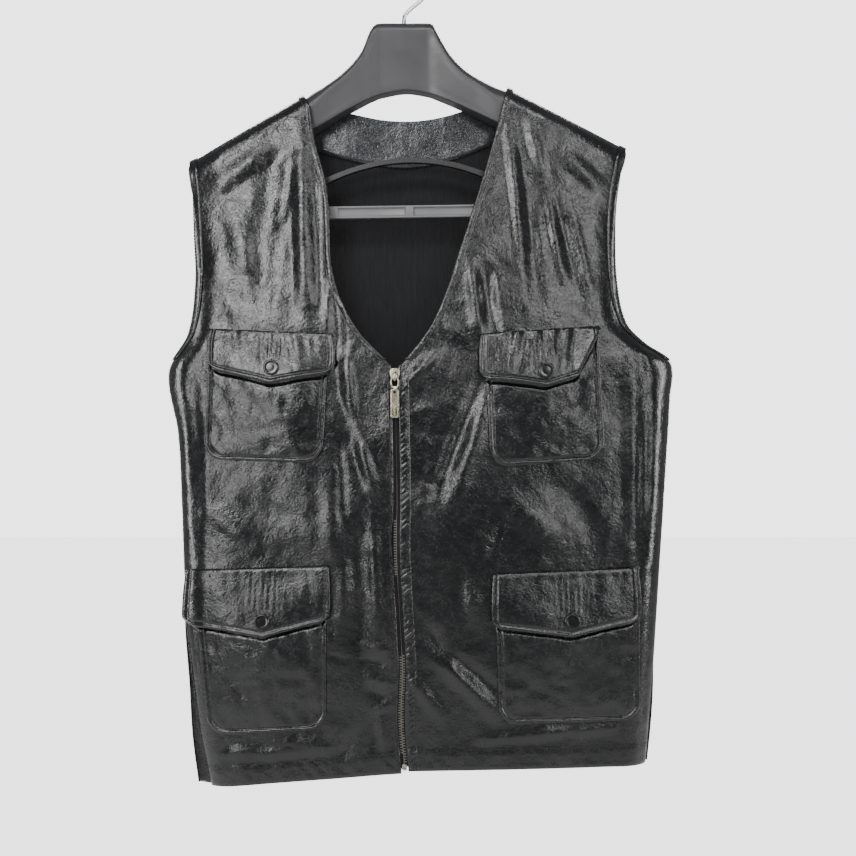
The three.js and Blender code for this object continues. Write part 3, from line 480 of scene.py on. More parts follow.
def backPlace(c, r):
    s0, s1 = shoulder["right"], shoulder["left"]
    leftZ = rowZ(s0["tipZ"], hem["right"]["outer"], r, fine["rows"])
    rightZ = rowZ(s1["tipZ"], hem["left"]["outer"], r, fine["rows"])
    x = backX(c, backEdgeX("right", leftZ), backEdgeX("left", rightZ))
    topX = backX(c, s0["tipX"], s1["tipX"])
    share = clamp((x - s0["tipX"]) / (s1["tipX"] - s0["tipX"]), 0, 1)
    z = rowZ(backTopZ(topX), mix(hem["right"]["outer"], hem["left"]["outer"], share), r, fine["rows"])
    below = ease((cut["underarm"] + sideTuck["over"] - z) / sideTuck["over"])
    if c not in (0, backColumns):
        tuck = sideTuck["back"] * below if c in (1, backColumns - 1) else 0
        return Vector((x, backDepth(x, z) + tuck, z))
    side, sign = ("right", -1) if c == 0 else ("left", 1)
    drop = backTopZ(topX) - z
    y = backEdgeY(side, z) * shoulderRound(drop) + cut["seamHalfGap"]
    y -= sideTuck["armhole"] * (1 - below) * ease(drop / 20)
    return Vector((x - sign * along(backProud[side], "x", z) * below, y, z))


def onShoulder(p):
    return p.x <= shoulder["right"]["neckX"] + 1 or p.x >= shoulder["left"]["neckX"] - 1


back = Grid(backColumns, fine["rows"], 1, backPlace)
backPanel = wall("hide_back", back, -cut["leather"], 0, onShoulder, (0, backColumns))
cutHide(backPanel, "back", back, (0.57, 0.72), "hanger_body")

print("lining and facing")
liningIn = -(cut["leather"] + cut["layGap"])
firstFlat = 1 + fine["roll"]
liningGrid = Grid(backFlat // 2, fine["rows"] // 2 - 5, 1,
                  lambda c, r: back.at(firstFlat + 2 * c, 3 + 2 * r, liningIn))
liningPiece = wall("lining_back", liningGrid, -cut["lining"], 0)
sheets.append((liningPiece, liningGrid, (0.5, 0.7), "hide_back"))
facingIn = liningIn - cut["lining"] - cut["layGap"] - 0.3
neckFirst = firstFlat + fine["backShoulder"]
facingRows, facingEnd = 16, fine["roundRows"] + 8.2
facingGrid = Grid(fine["backNeck"] - 4, facingRows, 1,
                  lambda c, r: back.at(neckFirst + 2 + c, mix(1, facingEnd, r / facingRows), facingIn))
facingPiece = wall("hide_neck_facing", facingGrid, -cut["trim"], 0)
cutHide(facingPiece, "back_neck_facing", facingGrid, (0.24, 0.06), "lining_back")


# Edge bands, rounded across, from the panels' own points
band = dict(columns=6, neckRows=150, armRows=110, rearRows=100, armWide=7, under=0.25, seat=0.35)


def roundedAcross(c, r):
    u = clamp(c / band["columns"], 0.04, 0.96)
    return band["seat"] + cut["trim"] * (0.35 + 0.65 * sin(pi * u) ** 0.5)


def rowAt(top, low, z):  # a panel's row at a height below the shoulder's rounding
    top = top - cut["crown"] - cut["armGap"]
    return fine["roundRows"] + (fine["rows"] - fine["roundRows"]) * ((top - z) / (top - low))


def neckRow(side):
    return rowAt(shoulder[side]["neckZ"], hem[side]["inner"], cut["neckEnd"])


def pitchOf(grid, row):
    return (grid.at(0, row) - grid.at(1, row)).length


bandGrids = []
edgings = {"hide_front_right": [], "hide_front_left": [], "hide_back": []}


def edgeBand(name, node, count, place, panel, seamColumns):
    grid = Grid(band["columns"], count, 1 if panel == "hide_back" else -1, place)
    piece = wall(name, grid, band["under"], roundedAcross)
    cutHide(piece, node)
    edgings[panel].append(piece)
    bandGrids.append((grid, seamColumns))


print("edge bands")
for side in ("right", "left"):
    grid = fronts[side]
    neckEnd = neckRow(side) - 1.5
    armEnd = rowAt(shoulder[side]["tipZ"], hem[side]["outer"], cut["underarm"])
    rearFirst = 1 if side == "right" else backColumns - 8

    def neckPlace(c, r):
        row = mix(1, neckEnd, r / band["neckRows"])
        return grid.at(c / band["columns"] * cut["bandWide"] / pitchOf(grid, row), row)

    def armPlace(c, r):
        first = frontColumns - band["armWide"]
        return grid.at(first + band["armWide"] * c / band["columns"], mix(1, armEnd - 2, r / band["armRows"]))

    def rearPlace(c, r):
        row = mix(1, armEnd - 6, r / band["rearRows"])
        return back.at(rearFirst + band["armWide"] * c / band["columns"], row)

    front = f"hide_front_{side}"
    edgeBand(f"band_neck_{side}", f"{side}_neck_band", band["neckRows"], neckPlace, front, (1.6, 4.9))
    edgeBand(f"band_armhole_front_{side}", f"{side}_armhole_front_band", band["armRows"], armPlace,
             front, (5.2,))
    edgeBand(f"band_armhole_back_{side}", f"{side}_armhole_back_band", band["rearRows"], rearPlace,
             "hide_back", (5.2,))
collarRows, collarEnd = 6, 4.6
collar = Grid(fine["backNeck"] - 4, collarRows, 1,
              lambda c, r: back.at(neckFirst + 2 + c, collarEnd * r / collarRows))
collarPiece = wall("band_neck_back", collar, band["under"], cut["trim"])
cutHide(collarPiece, "back_neck_band")
edgings["hide_back"].append(collarPiece)

print("zip")
tapes = []
for side in ("right", "left"):
    grid = fronts[side]
    sign = 1 if side == "right" else -1
    first = ceil(neckRow(side)) + 1
    count = fine["rows"] - first

    def tapePlace(c, r):
        row = min(first + r, fine["rows"] - 1.2)
        behind = -(cut["leather"] + cut["layGap"])
        if c == 0:
            return grid.at(0, row, behind) + Vector((sign * (cut["zipHalfGap"] - 0.4), 0, 0))
        return grid.at((c - 1) / 3 * cut["tapeWide"] / pitchOf(grid, row), row, behind)

    tape = Grid(4, count, -1, tapePlace)
    piece = wall(f"tape_zip_{side}", tape, -1, 0)
    tapes.append((piece, f"{side}_zip_tape"))
    sheets.append((piece, tape, (0.02, 0.39), f"hide_front_{side}"))

# The strip beside the zip is gathered by its stitching into slanted puckers, uneven down its length
strip = dict(rows=430, columns=10, pucker=0.95, pitch=5.6, seat=0.35, body=0.6, slant=9, drift=2.4, first=1.5)
stripFrom = neckRow("left") + strip["first"]


def stripPlace(c, r):
    row = mix(stripFrom, fine["rows"] - 0.4, r / strip["rows"])
    return fronts["left"].at(c / strip["columns"] * cut["stripWide"] / pitchOf(fronts["left"], row), row)


stripGrid = Grid(strip["columns"], strip["rows"], -1, stripPlace)


def stripHeight(c, r):
    p = stripGrid.points[r][c]
    u = c / strip["columns"]
    slant = 2 * pi * p.z / strip["pitch"] - strip["slant"] * u + strip["drift"] * sin(p.z / 19)
    gather = (0.5 + 0.5 * sin(slant)) ** 1.6
    uneven = 0.15 + 1.7 * abs(noise.noise(Vector((p.z / 15, 2, 3))))
    body = sin(pi * clamp(u, 0.03, 0.97)) ** 0.6
    return strip["seat"] + strip["body"] * body + strip["pucker"] * gather * min(uneven, 1.2) * body


stripPiece = wall("hide_zip_strip", stripGrid, 0.25, stripHeight)
cutHide(stripPiece, "zip_strip", stripGrid, (0.012, 0.39), "hide_front_left")


def joinBoxes(name, boxes):  # one mesh of small eight-cornered blocks: centre, three half axes, end taper
    points, faces = [], []
    for centre, a, b, n, taper in boxes:
        k = len(points)
        for i in (-1, 1):
            for j, w in ((-1, -1), (1, -1), (1, 1), (-1, 1)):
                points.append((centre + a * i + b * j * taper + n * (w if w < 0 else w * taper)) * mm)
        faces += [(k, k + 3, k + 2, k + 1), (k + 4, k + 5, k + 6, k + 7)]
        faces += [(k + i, k + (i + 1) % 4, k + 4 + (i + 1) % 4, k + 4 + i) for i in range(4)]
    piece = newMesh(name, points, faces, smooth=False)
    openAll(piece)
    faceOutwards()
    bpy.ops.object.mode_set(mode="OBJECT")
    return piece


tooth = dict(pitch=2.6, wide=2.3, high=0.65, deep=1.1, top=-428, low=-796, bare=-668, sunk=1.9, proud=0.6,
             offset=1.1, taper=0.9)
teeth = []
toothZ = tooth["top"]
side = 1
while toothZ > tooth["low"]:
    x = along(zipLine, "x", toothZ)
    covered = 1 - ease((tooth["bare"] - toothZ) / 40)
    y = frontDepth("left", x + 4, toothZ, False) + cut["leather"] + tooth["proud"] + tooth["sunk"] * covered
    teeth.append((Vector((x + side * tooth["offset"], y, toothZ)), Vector((tooth["wide"] / 2 + 0.4, 0, 0)),
                  Vector((0, 0, tooth["high"])), Vector((0, -tooth["deep"], 0)), tooth["taper"]))
    toothZ -= tooth["pitch"] / 2
    side = -side
teethPiece = joinBoxes("zip_teeth", teeth)

# Patch pockets and flaps lie on the front's form, with a slight fill
pockets = rows(
    "name side topIn topOut lowIn lowOut top lowInZ lowOutZ",
    ("right_chest", "right", -72, -191, -79, -195, -377, -500, -497),
    ("left_chest", "left", 78, 191, 85, 197, -377, -504, -497),
    ("right_hip", "right", -75, -205, -75, -190, -609, -760, -766),
    ("left_hip", "left", 89, 230, 93, 231, -611, -755, -752))
flaps = rows(
    "name inX inZ outX outZ side point at curl bow",
    ("right_chest", -70, -374, -189.5, -369, 40, 51, 0.49, 0, 0.03),
    ("left_chest", 75, -374, 191, -366, 45, 56, 0.55, 0.19, 0.01),
    ("right_hip", -72, -600, -210, -604, 54, 67, 0.47, 0, 0.005),
    ("left_hip", 87, -608, 229, -602, 53, 64, 0.54, 0, 0.01))
patch = dict(corner=19, fill=4.4, lift=0.7, rollLift=1.6, sink=0.3, turnFrom=0.72, columns=66, rows=120,
             edgeSteps=9, edgeShare=0.062, flapCorner=12, flapColumns=70, flapRows=34, flapEdgeShare=0.066,
             flapLowSteps=10, flapLowShare=0.19)
pocketRelief = dict(ruffle=0.45, wave=1.5, hollow=2.6, hollowAt=1.2, hollowWide=3.2, least=0.5)
flapForm = dict(stand=2.9, corner=4.6, sag=0.8, seamPucker=1.6, snapPucker=0.75, curlPucker=1.1, drawn=1.05,
                drawnWide=3.2, thin=0.55)
turnedEdge = dict(rim=0.75, rimAt=1.9, rimWide=2.2, groove=0.95, grooveAt=4.6, grooveWide=1.5, drop=0.5)
snapUp = 15.5


def crowd(i, count, few, share, bothEnds=True):  # even steps, but the first and last few share a narrow edge
    if i <= few:
        return share * i / few
    if bothEnds and i >= count - few:
        return 1 - share * (count - i) / few
    last = 1 - share if bothEnds else 1
    steps = count - few * (2 if bothEnds else 1)
    return mix(share, last, (i - few) / steps)


def onFront(side, x, z):
    return Vector((x, frontDepth(side, x, z, False), z))


def liftAt(side, q):  # patches stand a little further off where the front rolls round the side
    near = clamp(1 - abs(along(outer[side], "x", q.z) - q.x) / cut["rollWide"], 0, 1)
    return patch["lift"] + patch["rollLift"] * near


def pocketFill(p, x, z):  # the pouch's slight bulge
    u = clamp((x - p["topIn"]) / (p["topOut"] - p["topIn"]), 0, 1)
    v = clamp((z - p["top"]) / (p["lowInZ"] - p["top"]), 0, 1)
    return patch["fill"] * sin(pi * u) * sin(pi * v)


def edgeStep(distance):  # the turned edge: a raised rim, then a stitched groove inside it
    e = turnedEdge
    rim = e["rim"] * max(0, 1 - ((distance - e["rimAt"]) / e["rimWide"]) ** 2)
    groove = e["groove"] * max(0, 1 - abs(distance - e["grooveAt"]) / e["grooveWide"])
    return rim - groove - e["drop"] * max(0, 1 - distance / 0.9)


def pocketSides(p, share):
    return mix(p["topIn"], p["lowIn"], share), mix(p["topOut"], p["lowOut"], share)


def pocketPoint(p, u, v):  # v runs down the sides, then round both lower corners
    corner, turnFrom = patch["corner"], patch["turnFrom"]
    deep = p["top"] - mix(p["lowInZ"], p["lowOutZ"], u)
    turn = max(v - turnFrom, 0) / (1 - turnFrom) * pi / 2
    down = (deep - corner) * v / turnFrom if v <= turnFrom else deep - corner * (1 - sin(turn))
    inset = corner * (1 - cos(turn)) * 0.96 * (1 if p["topOut"] > p["topIn"] else -1)
    inX, outX = pocketSides(p, down / deep)
    return onFront(p["side"], mix(inX + inset, outX - inset, u), p["top"] - down)


def pocketEdge(p, q):  # how far a point lies inside the pocket's edge
    corner = patch["corner"]
    inX, outX = pocketSides(p, clamp((p["top"] - q.z) / (p["top"] - p["lowInZ"]), 0, 1))
    dx = min(abs(q.x - inX), abs(q.x - outX))
    dz = q.z - mix(p["lowInZ"], p["lowOutZ"], clamp((q.x - inX) / (outX - inX), 0, 1))
    if dx < corner and dz < corner:
        return max(corner - hypot(corner - dx, corner - dz), 0)
    return max(min(dx, dz), 0)


def flapDeep(f, u):
    wide = abs(f["outX"] - f["inX"])
    t = clamp(1 - min(u, 1 - u) * wide / patch["flapCorner"], 0, 1)
    corner = patch["flapCorner"] * (1 - sqrt(1 - t * t)) * 0.9
    slope = abs(u - f["at"]) / (f["at"] if u < f["at"] else 1 - f["at"])
    peak = (f["point"] - f["side"]) * (1 - slope) ** 1.3
    curl = clamp((u - 1 + f["curl"]) / f["curl"], 0, 1) ** 0.8 * (f["side"] - 10) if f["curl"] else 0
    return max(f["side"] + peak - corner - curl, 6)


def flapPoint(f, p, u, v):
    bow = (u - 0.5) * (f["outX"] - f["inX"]) * f["bow"] * sin(pi * clamp(v, 0, 1))
    x = mix(f["inX"], f["outX"], u) + (u - 0.5) * 2.4 * v * (1 if f["outX"] > 0 else -1) + bow
    return onFront(p["side"], x, mix(f["inZ"], f["outZ"], u) - flapDeep(f, u) * v)


def flapBottom(f, x):
    u = clamp((x - f["inX"]) / (f["outX"] - f["inX"]), 0, 1)
    return mix(f["inZ"], f["outZ"], u) - flapDeep(f, u)


def flapStand(v):  # the free edge stands off the pocket
    return flapForm["stand"] * clamp((v - 0.1) / 0.9, 0, 1) ** 1.3


def flapLow(p, q):  # where a flap's underside lies, over its pocket
    return liftAt(p["side"], q) + cut["leather"] - patch["sink"] + pocketFill(p, q.x, q.z) + 1


def cornerLift(f, u, v):  # the outer corner stands up from a fold line
    if not f["curl"]:
        return 0
    fold = ease((u - 1 + f["curl"] * 1.35) / (f["curl"] * 0.7))
    return flapForm["corner"] * fold * v ** 1.1 * (1 - 0.85 * ease((u - 0.9) / 0.08))


def flapTop(f, p, q, u, v):
    deep, wide = flapDeep(f, u), abs(f["outX"] - f["inX"])
    fromEdge = min(deep * (1 - v), min(u, 1 - u) * wide)
    fromSnap = hypot((u - f["at"]) * wide, deep * (1 - v) - snapUp)
    sag = flapForm["sag"] * sin(pi * v) * (0.6 + 0.4 * sin(9 * u)) + flapStand(v)
    pucker = flapForm["seamPucker"] * sin(46 * u + 3 * v) * (1 - v) ** 1.4
    pucker *= noise.noise(Vector((u * 6, p["top"] / 50, 1)))
    gathered = max(0, 1 - abs(u - f["at"]) / 0.17) * sin(pi * clamp(v / 0.75, 0, 1))  # above the snap
    pucker += flapForm["snapPucker"] * gathered * sin(1.1 * (u - f["at"]) * wide + 0.6 * sin(9 * v))
    if f["curl"]:
        middle = max(0, sin(pi * clamp((u - 0.1) / 0.9, 0, 1)))
        pucker += flapForm["curlPucker"] * sin(44 * u + 4 * v) * middle * (1 - v) ** 1.5
    sewn = flapForm["drawn"] * (1 - ease(deep * v / flapForm["drawnWide"]))  # drawn in along its top seam
    return (flapLow(p, q) + cut["trim"] - sewn + edgeStep(fromEdge) + sag + pucker * ease((fromSnap - 6) / 7)
            + cornerLift(f, u, v))


def flapShare(c, r):  # how far across and down a flap one of its grid's corners lies
    n, m = patch["flapColumns"], patch["flapRows"]
    u = crowd(c, n, patch["edgeSteps"], patch["flapEdgeShare"])
    return u, 1 - crowd(m - r, m, patch["flapLowSteps"], patch["flapLowShare"], False)


print("pockets")
caps = []
for p, f in zip(pockets, flaps):
    n, m = patch["columns"], patch["rows"]
    grid = Grid(n, m, -1,
                lambda c, r: pocketPoint(p, crowd(c, n, patch["edgeSteps"], patch["edgeShare"]), r / m))

    def pocketLow(c, r):
        return liftAt(p["side"], grid.points[r][c]) - patch["sink"]

    def pocketTop(c, r):
        q = grid.points[r][c]
        inside = pocketEdge(p, q)
        ruffle = pocketRelief["ruffle"] * noise.noise(Vector((q.x / 9, q.z / 11, 4)))
        wave = pocketRelief["wave"] * noise.noise(Vector((q.x / 24 + q.z / 60, q.z / 40, 7)))
        ruffle += wave * min(1, inside / 14)
        rise = cut["leather"] + pocketFill(p, q.x, q.z) + edgeStep(inside) + ruffle
        under = flapBottom(f, q.x) - q.z  # a hollow just below the flap's free edge
        hollow = max(0, 1 - abs(under - pocketRelief["hollowAt"]) / pocketRelief["hollowWide"])
        lowered = rise - pocketRelief["hollow"] * hollow
        return pocketLow(c, r) + max(lowered, min(rise, pocketRelief["least"]))

    piece = wall(f"hide_pocket_{p['name']}", grid, pocketLow, pocketTop)
    wide = abs(p["topOut"] - p["topIn"]) + 6
    deep = p["top"] - min(p["lowInZ"], p["lowOutZ"]) + 8
    cutHide(piece, f"{p['name']}_pocket", grid, (wide * mm, deep * mm), f"hide_front_{p['side']}")

    flapGrid = Grid(patch["flapColumns"], patch["flapRows"], -1,
                    lambda c, r: flapPoint(f, p, *flapShare(c, r)))

    def low(c, r):
        u, v = flapShare(c, r)
        lift = 0.93 * cornerLift(f, u, v) + flapStand(v) + flapForm["thin"] * ease((v - 0.8) / 0.18)
        return flapLow(p, flapGrid.points[r][c]) - 0.2 + lift

    piece = wall(f"hide_flap_{p['name']}", flapGrid, low,
                 lambda c, r: flapTop(f, p, flapGrid.points[r][c], *flapShare(c, r)))
    flat = ((abs(f["outX"] - f["inX"]) + 8) * mm, (f["point"] + 4) * mm)
    cutHide(piece, f"{p['name']}_flap", flapGrid, flat, f"hide_pocket_{p['name']}")


def applyAll(piece):
    onlySelect(piece)
    for modifier in list(piece.modifiers):
        bpy.ops.object.modifier_apply(modifier=modifier.name)


def intoMesh(piece, name):  # its place goes into its mesh
    onlySelect(piece)
    bpy.ops.object.transform_apply(location=True, rotation=True, scale=True)
    piece.name = name
    piece.data.name = name
    return piece


def selectFaces(piece, test):  # in edit mode, by middle and normal, in millimetres
    bpy.ops.mesh.select_mode(type="FACE")
    bpy.ops.mesh.select_all(action="DESELECT")
    mesh = bmesh.from_edit_mesh(piece.data)
    for face in mesh.faces:
        if test(face.calc_center_median() / mm, face.normal):
            face.select = True
    mesh.select_flush_mode()
    bmesh.update_edit_mesh(piece.data)


def softenEdges(piece, width, segments, levels=0, angle=35):
    bevel = piece.modifiers.new("edge", "BEVEL")
    bevel.width = width * mm
    bevel.segments = segments
    bevel.limit_method = "ANGLE"
    bevel.angle_limit = radians(angle)
    if levels:
        smooth = piece.modifiers.new("smooth", "SUBSURF")
        smooth.levels = smooth.render_levels = levels
    applyAll(piece)
    bpy.ops.object.shade_smooth_by_angle(angle=radians(40))


# Stitches: short rounded threads in a sunk line, beside the edges
thread = dict(pitch=3.1, long=2.3, wide=0.55, high=0.42, taper=0.6, steps=220, hemLift=0.15, hemSteps=160,
              zipLift=0.1, zipSteps=300, besideZip=3.2, sunk=0.62, flapLift=0.02)


def stitchLine(points, normals):  # walks a line and lays a stitch at each pitch
    stitches = []
    left = thread["pitch"] / 2
    for a, b, n in zip(points, points[1:], normals):
        step = (b - a).length
        while left < step:
            forward = (b - a).normalized()
            side = n.cross(forward).normalized()
            stitches.append((a.lerp(b, left / step), forward * thread["long"] / 2, side * thread["wide"] / 2,
                             n * thread["high"], thread["taper"]))
            left += thread["pitch"]
        left -= step
    return stitches


def gridSeam(grid, where, lift, steps):  # stitches along a line of places on a grid
    points, normals = [], []
    for k in range(steps + 1):
        c, r = where(k / steps)
        points.append(grid.at(c, r, lift))
        normals.append((grid.at(c, r, 1) - grid.at(c, r)).normalized())
    return stitchLine(points, normals)


def pathSeam(place):  # stitches along a line of points on a patch, facing the front
    points = [place(k / thread["steps"]) for k in range(thread["steps"] + 1)]
    return stitchLine(points, [Vector((0, -1, 0))] * len(points))


def aboveHem(grid, first, last, t):  # a place a fixed height above the hem
    c = mix(first, last, t)
    pitch = (grid.at(c, fine["rows"] - 1) - grid.at(c, fine["rows"])).length
    return c, fine["rows"] - hemTurn["high"] / pitch


def besideZip(t):
    row = mix(ceil(neckRow("right")) + 1, fine["rows"] - 3, t)
    return thread["besideZip"] / pitchOf(fronts["right"], row), row


def aroundPath(t, deep, wide):  # down one side, along the bottom and up the other, as shares across and down
    s = t * (2 * deep + wide)
    if s < deep:
        return 0, s / deep
    if s < deep + wide:
        return (s - deep) / wide, 1
    return 1, (2 * deep + wide - s) / deep


def pocketSeam(p, t):
    inner = turnedEdge["grooveAt"]
    deep = p["top"] - p["lowInZ"]
    sign = 1 if p["topOut"] > p["topIn"] else -1
    u, v = aroundPath(t, deep, abs(p["topOut"] - p["topIn"]))
    low = mix(p["lowInZ"], p["lowOutZ"], u) + inner
    z = low if 0 < u < 1 else max(p["top"] - v * deep, low)
    inX, outX = pocketSides(p, (p["top"] - z) / deep)
    inX, outX = inX + sign * inner, outX - sign * inner
    x = mix(inX, outX, u)
    radius = patch["corner"] - inner
    for cornerX, toward in ((inX, sign), (outX, -sign)):  # both lower corners turn
        cx, cz = cornerX + toward * radius, low + radius
        if (x - cx) * toward < 0 and z < cz:
            d = Vector((x - cx, 0, z - cz)).normalized() * radius
            x, z = cx + d.x, cz + d.z
    q = onFront(p["side"], x, z)
    lift = liftAt(p["side"], q) + cut["leather"] - patch["sink"] + pocketFill(p, x, z) - thread["sunk"]
    return q - Vector((0, lift, 0))


def flapSeam(f, p, t):
    inner = turnedEdge["grooveAt"]
    wide = abs(f["outX"] - f["inX"])
    u, v = aroundPath(t, f["side"], wide)
    u = clamp(u, inner / wide, 1 - inner / wide)
    v = min(v, 1 - inner / flapDeep(f, u))
    q = flapPoint(f, p, u, v)
    return q - Vector((0, flapTop(f, p, q, u, v) + thread["flapLift"], 0))


print("stitching")
seams = []
for grid, seamColumns in bandGrids:
    for c in seamColumns:
        lift = (band["seat"] + cut["trim"]) * 0.93
        seams += gridSeam(grid, lambda t: (c, grid.rowCount * t), lift, 2 * grid.rowCount)
for side, first in (("right", 2), ("left", 16)):  # the left one starts beyond the zip strip
    seams += gridSeam(fronts[side], lambda t: aboveHem(fronts[side], first, frontColumns - 2, t),
                      thread["hemLift"], thread["hemSteps"])
    if side == "right":
        seams += gridSeam(fronts[side], besideZip, thread["zipLift"], thread["zipSteps"])
seams += gridSeam(back, lambda t: aboveHem(back, 3, backColumns - 3, t),
                  thread["hemLift"], 2 * thread["hemSteps"])
for p, f in zip(pockets, flaps):
    seams += pathSeam(lambda t: pocketSeam(p, t))
    seams += pathSeam(lambda t: flapSeam(f, p, t))
print(" ", len(seams), "stitches")
seamPiece = joinBoxes("seam_stitches", seams)

# Snap caps: a short cylinder, its face raised and dished ring by ring
snap = dict(radius=7.5, seat=3.4, rimTop=1.4, nod=-0.09, edge=0.25, proud=0.9,
            rings=((0.7, 0.7), (0.9, 0.12), (0.9, -0.3), (1.5, 0.1), (1.6, 0.06)))


def snapCap(name, at):
    bpy.ops.object.select_all(action="DESELECT")
    bpy.ops.mesh.primitive_cylinder_add(vertices=64, radius=snap["radius"] * mm, depth=snap["seat"] * mm,
                                        location=(0, 0, (snap["rimTop"] - snap["seat"] / 2) * mm))
    cap = bpy.context.object
    bpy.ops.object.mode_set(mode="EDIT")
    for inset, rise in snap["rings"]:
        selectFaces(cap, lambda m, n: n.z > 0.9 and m.length < 4 and abs(m.x) < 0.2)
        bpy.ops.mesh.inset(thickness=inset * mm, depth=0)
        bpy.ops.transform.translate(value=(0, 0, rise * mm))
    bpy.ops.object.mode_set(mode="OBJECT")
    softenEdges(cap, snap["edge"], 2)
    cap.rotation_euler = (pi / 2 + snap["nod"], 0, 0)
    cap.location = at * mm
    return intoMesh(cap, name)


print("snaps")
for p, f in zip(pockets, flaps):
    u, v = f["at"], 1 - snapUp / flapDeep(f, f["at"])
    q = flapPoint(f, p, u, v)
    height = max(flapTop(f, p, flapPoint(f, p, u + du, v + dv), u + du, v + dv)
                 for du in (-0.03, 0, 0.03) for dv in (-0.08, 0, 0.08))
    cap = snapCap(f"snap_{p['name']}", Vector((q.x, q.y - height - snap["proud"], q.z)))
    caps.append((cap, f"{p['name']}_snap"))


def mergedCopy(node, name):  # a frame node's shape as a clean new mesh
    source = next(o for o in bpy.data.objects if o.type == "MESH" and o.name == node)
    mesh = source.data.copy()
    mesh.transform(source.matrix_world)
    mesh.materials.clear()
    piece = bpy.data.objects.new(name, mesh)
    bpy.context.collection.objects.link(piece)
    openAll(piece)
    bpy.ops.mesh.remove_doubles(threshold=0.02 * mm)
    bpy.ops.mesh.tris_convert_to_quads(face_threshold=radians(30), shape_threshold=radians(60))
    bpy.ops.object.mode_set(mode="OBJECT")
    return piece


# Hanger: a broad moulded body; its front is flat inside a rounded rim, and its underside is open to view
print("hanger")
hanger = dict(stations=150, rim=9.5, rimUnderCloth=16, edge=1.3, facetSink=0.5)


def hangerRing(x):  # half a section from the underside's middle, up the front, to the top
    top, low, half = (along(hangerSections, column, x, "x") for column in ("top", "low", "half"))
    under = ease((abs(x) - 70) / 25)
    rim = mix(hanger["rim"], hanger["rimUnderCloth"], under)
    foot = 0.94 * half
    edge = hanger["edge"]
    line = [(0, low), (-0.6 * foot, low)]
    for k in range(4):
        a = pi / 2 * k / 3
        line.append((-foot + edge - edge * sin(a), low + edge - edge * cos(a)))
    face = top - rim
    for k in range(1, 7):  # the flat front, a little sunk inside its rim
        t = k / 7
        sink = hanger["facetSink"] * (1 - under) * ease(min(t, 1 - t) / 0.16)
        line.append((-mix(foot, half, t) + sink, mix(low + edge, face, t)))
    for k in range(11):
        a = pi / 2 * k / 10
        line.append((-half * cos(a) ** 0.9 if k < 10 else 0, face + rim * sin(a)))
    return line


def hangerArms():
    points, faces = [], []
    first, last = hangerSections[0]["x"], hangerSections[-1]["x"]
    for k in range(hanger["stations"] + 1):
        x = mix(first, last, k / hanger["stations"])
        halfRing = hangerRing(x)
        points += [(x * mm, y * mm, z * mm) for y, z in halfRing]
        points += [(x * mm, -y * mm, z * mm) for y, z in reversed(halfRing[1:-1])]
    ring = len(points) // (hanger["stations"] + 1)
    for k in range(hanger["stations"]):
        for j in range(ring):
            a, b = k * ring + j, k * ring + (j + 1) % ring
            faces.append((a, a + ring, b + ring, b))
    end = hanger["stations"] * ring
    faces += [tuple(range(ring)), tuple(end + j for j in reversed(range(ring)))]
    piece = newMesh("hanger_arms", points, faces)
    openAll(piece)
    faceOutwards()
    bpy.ops.object.mode_set(mode="OBJECT")
    bpy.ops.object.shade_smooth_by_angle(angle=radians(50))
    return piece


arms = hangerArms()

# Trouser bar: a moulded strip with slots, turned up to the arms at both ends
barSize = dict(z=-250, tilt=0.014, high=12, deep=7, end=168, post=5.6, halfPost=2.2, pitch=75.6, wall=1.6,
               slope=1.0, sink=2.6, turnUp=10, rise=45, riseMore=0.9, edge=0.4)


def cutAcross(x):
    bpy.ops.mesh.select_all(action="SELECT")
    bpy.ops.mesh.bisect(plane_co=(x * mm, 0, 0), plane_no=(1, 0, 0))


def inSlot(x):
    pitch = barSize["pitch"]
    return abs((x - barSize["post"] + pitch / 2) % pitch - pitch / 2) > 4


def trouserBar():
    bpy.ops.object.select_all(action="DESELECT")
    size = (2 * barSize["end"] * mm, barSize["deep"] * mm, barSize["high"] * mm)
    bpy.ops.mesh.primitive_cube_add(size=1, location=(0, 0, 0), scale=size)
    piece = bpy.context.object
    bpy.ops.object.transform_apply(scale=True)
    bpy.ops.object.mode_set(mode="EDIT")
    for k in range(-2, 3):
        post = barSize["post"] + k * barSize["pitch"]
        for x in (post - barSize["halfPost"], post + barSize["halfPost"]):
            if abs(x) < barSize["end"] - 1:
                cutAcross(x)
    for facing in (-1, 1):
        selectFaces(piece, lambda m, n: n.y * facing > 0.9 and inSlot(m.x))
        bpy.ops.mesh.inset(thickness=barSize["wall"] * mm, depth=0, use_individual=True)
        bpy.ops.mesh.inset(thickness=barSize["slope"] * mm, depth=-barSize["sink"] * mm, use_individual=True)
    inner = barSize["end"] - barSize["turnUp"]
    for side in (-1, 1):
        cutAcross(side * inner)
        selectFaces(piece, lambda m, n: n.z > 0.9 and m.x * side > inner)
        rise = (barSize["rise"] + barSize["riseMore"] * side) * mm
        bpy.ops.mesh.extrude_region_move(TRANSFORM_OT_translate={"value": (0, 0, rise)})
    bpy.ops.object.mode_set(mode="OBJECT")
    softenEdges(piece, barSize["edge"], 2)
    piece.rotation_euler = (0, -barSize["tilt"], 0)
    piece.location = (0, 0, barSize["z"] * mm)
    return intoMesh(piece, "hanger_bar")


bar = trouserBar()
railEdge = 1.3
rail = mergedCopy("hanger_bow", "hanger_rail")
softenEdges(rail, railEdge, 3, 1, 40)

# Wire hook: a stem, then most of a circle
hookSize = dict(wire=2, inner=22, seat=0.3, straight=(5, 9), first=-62, last=200, step=12)


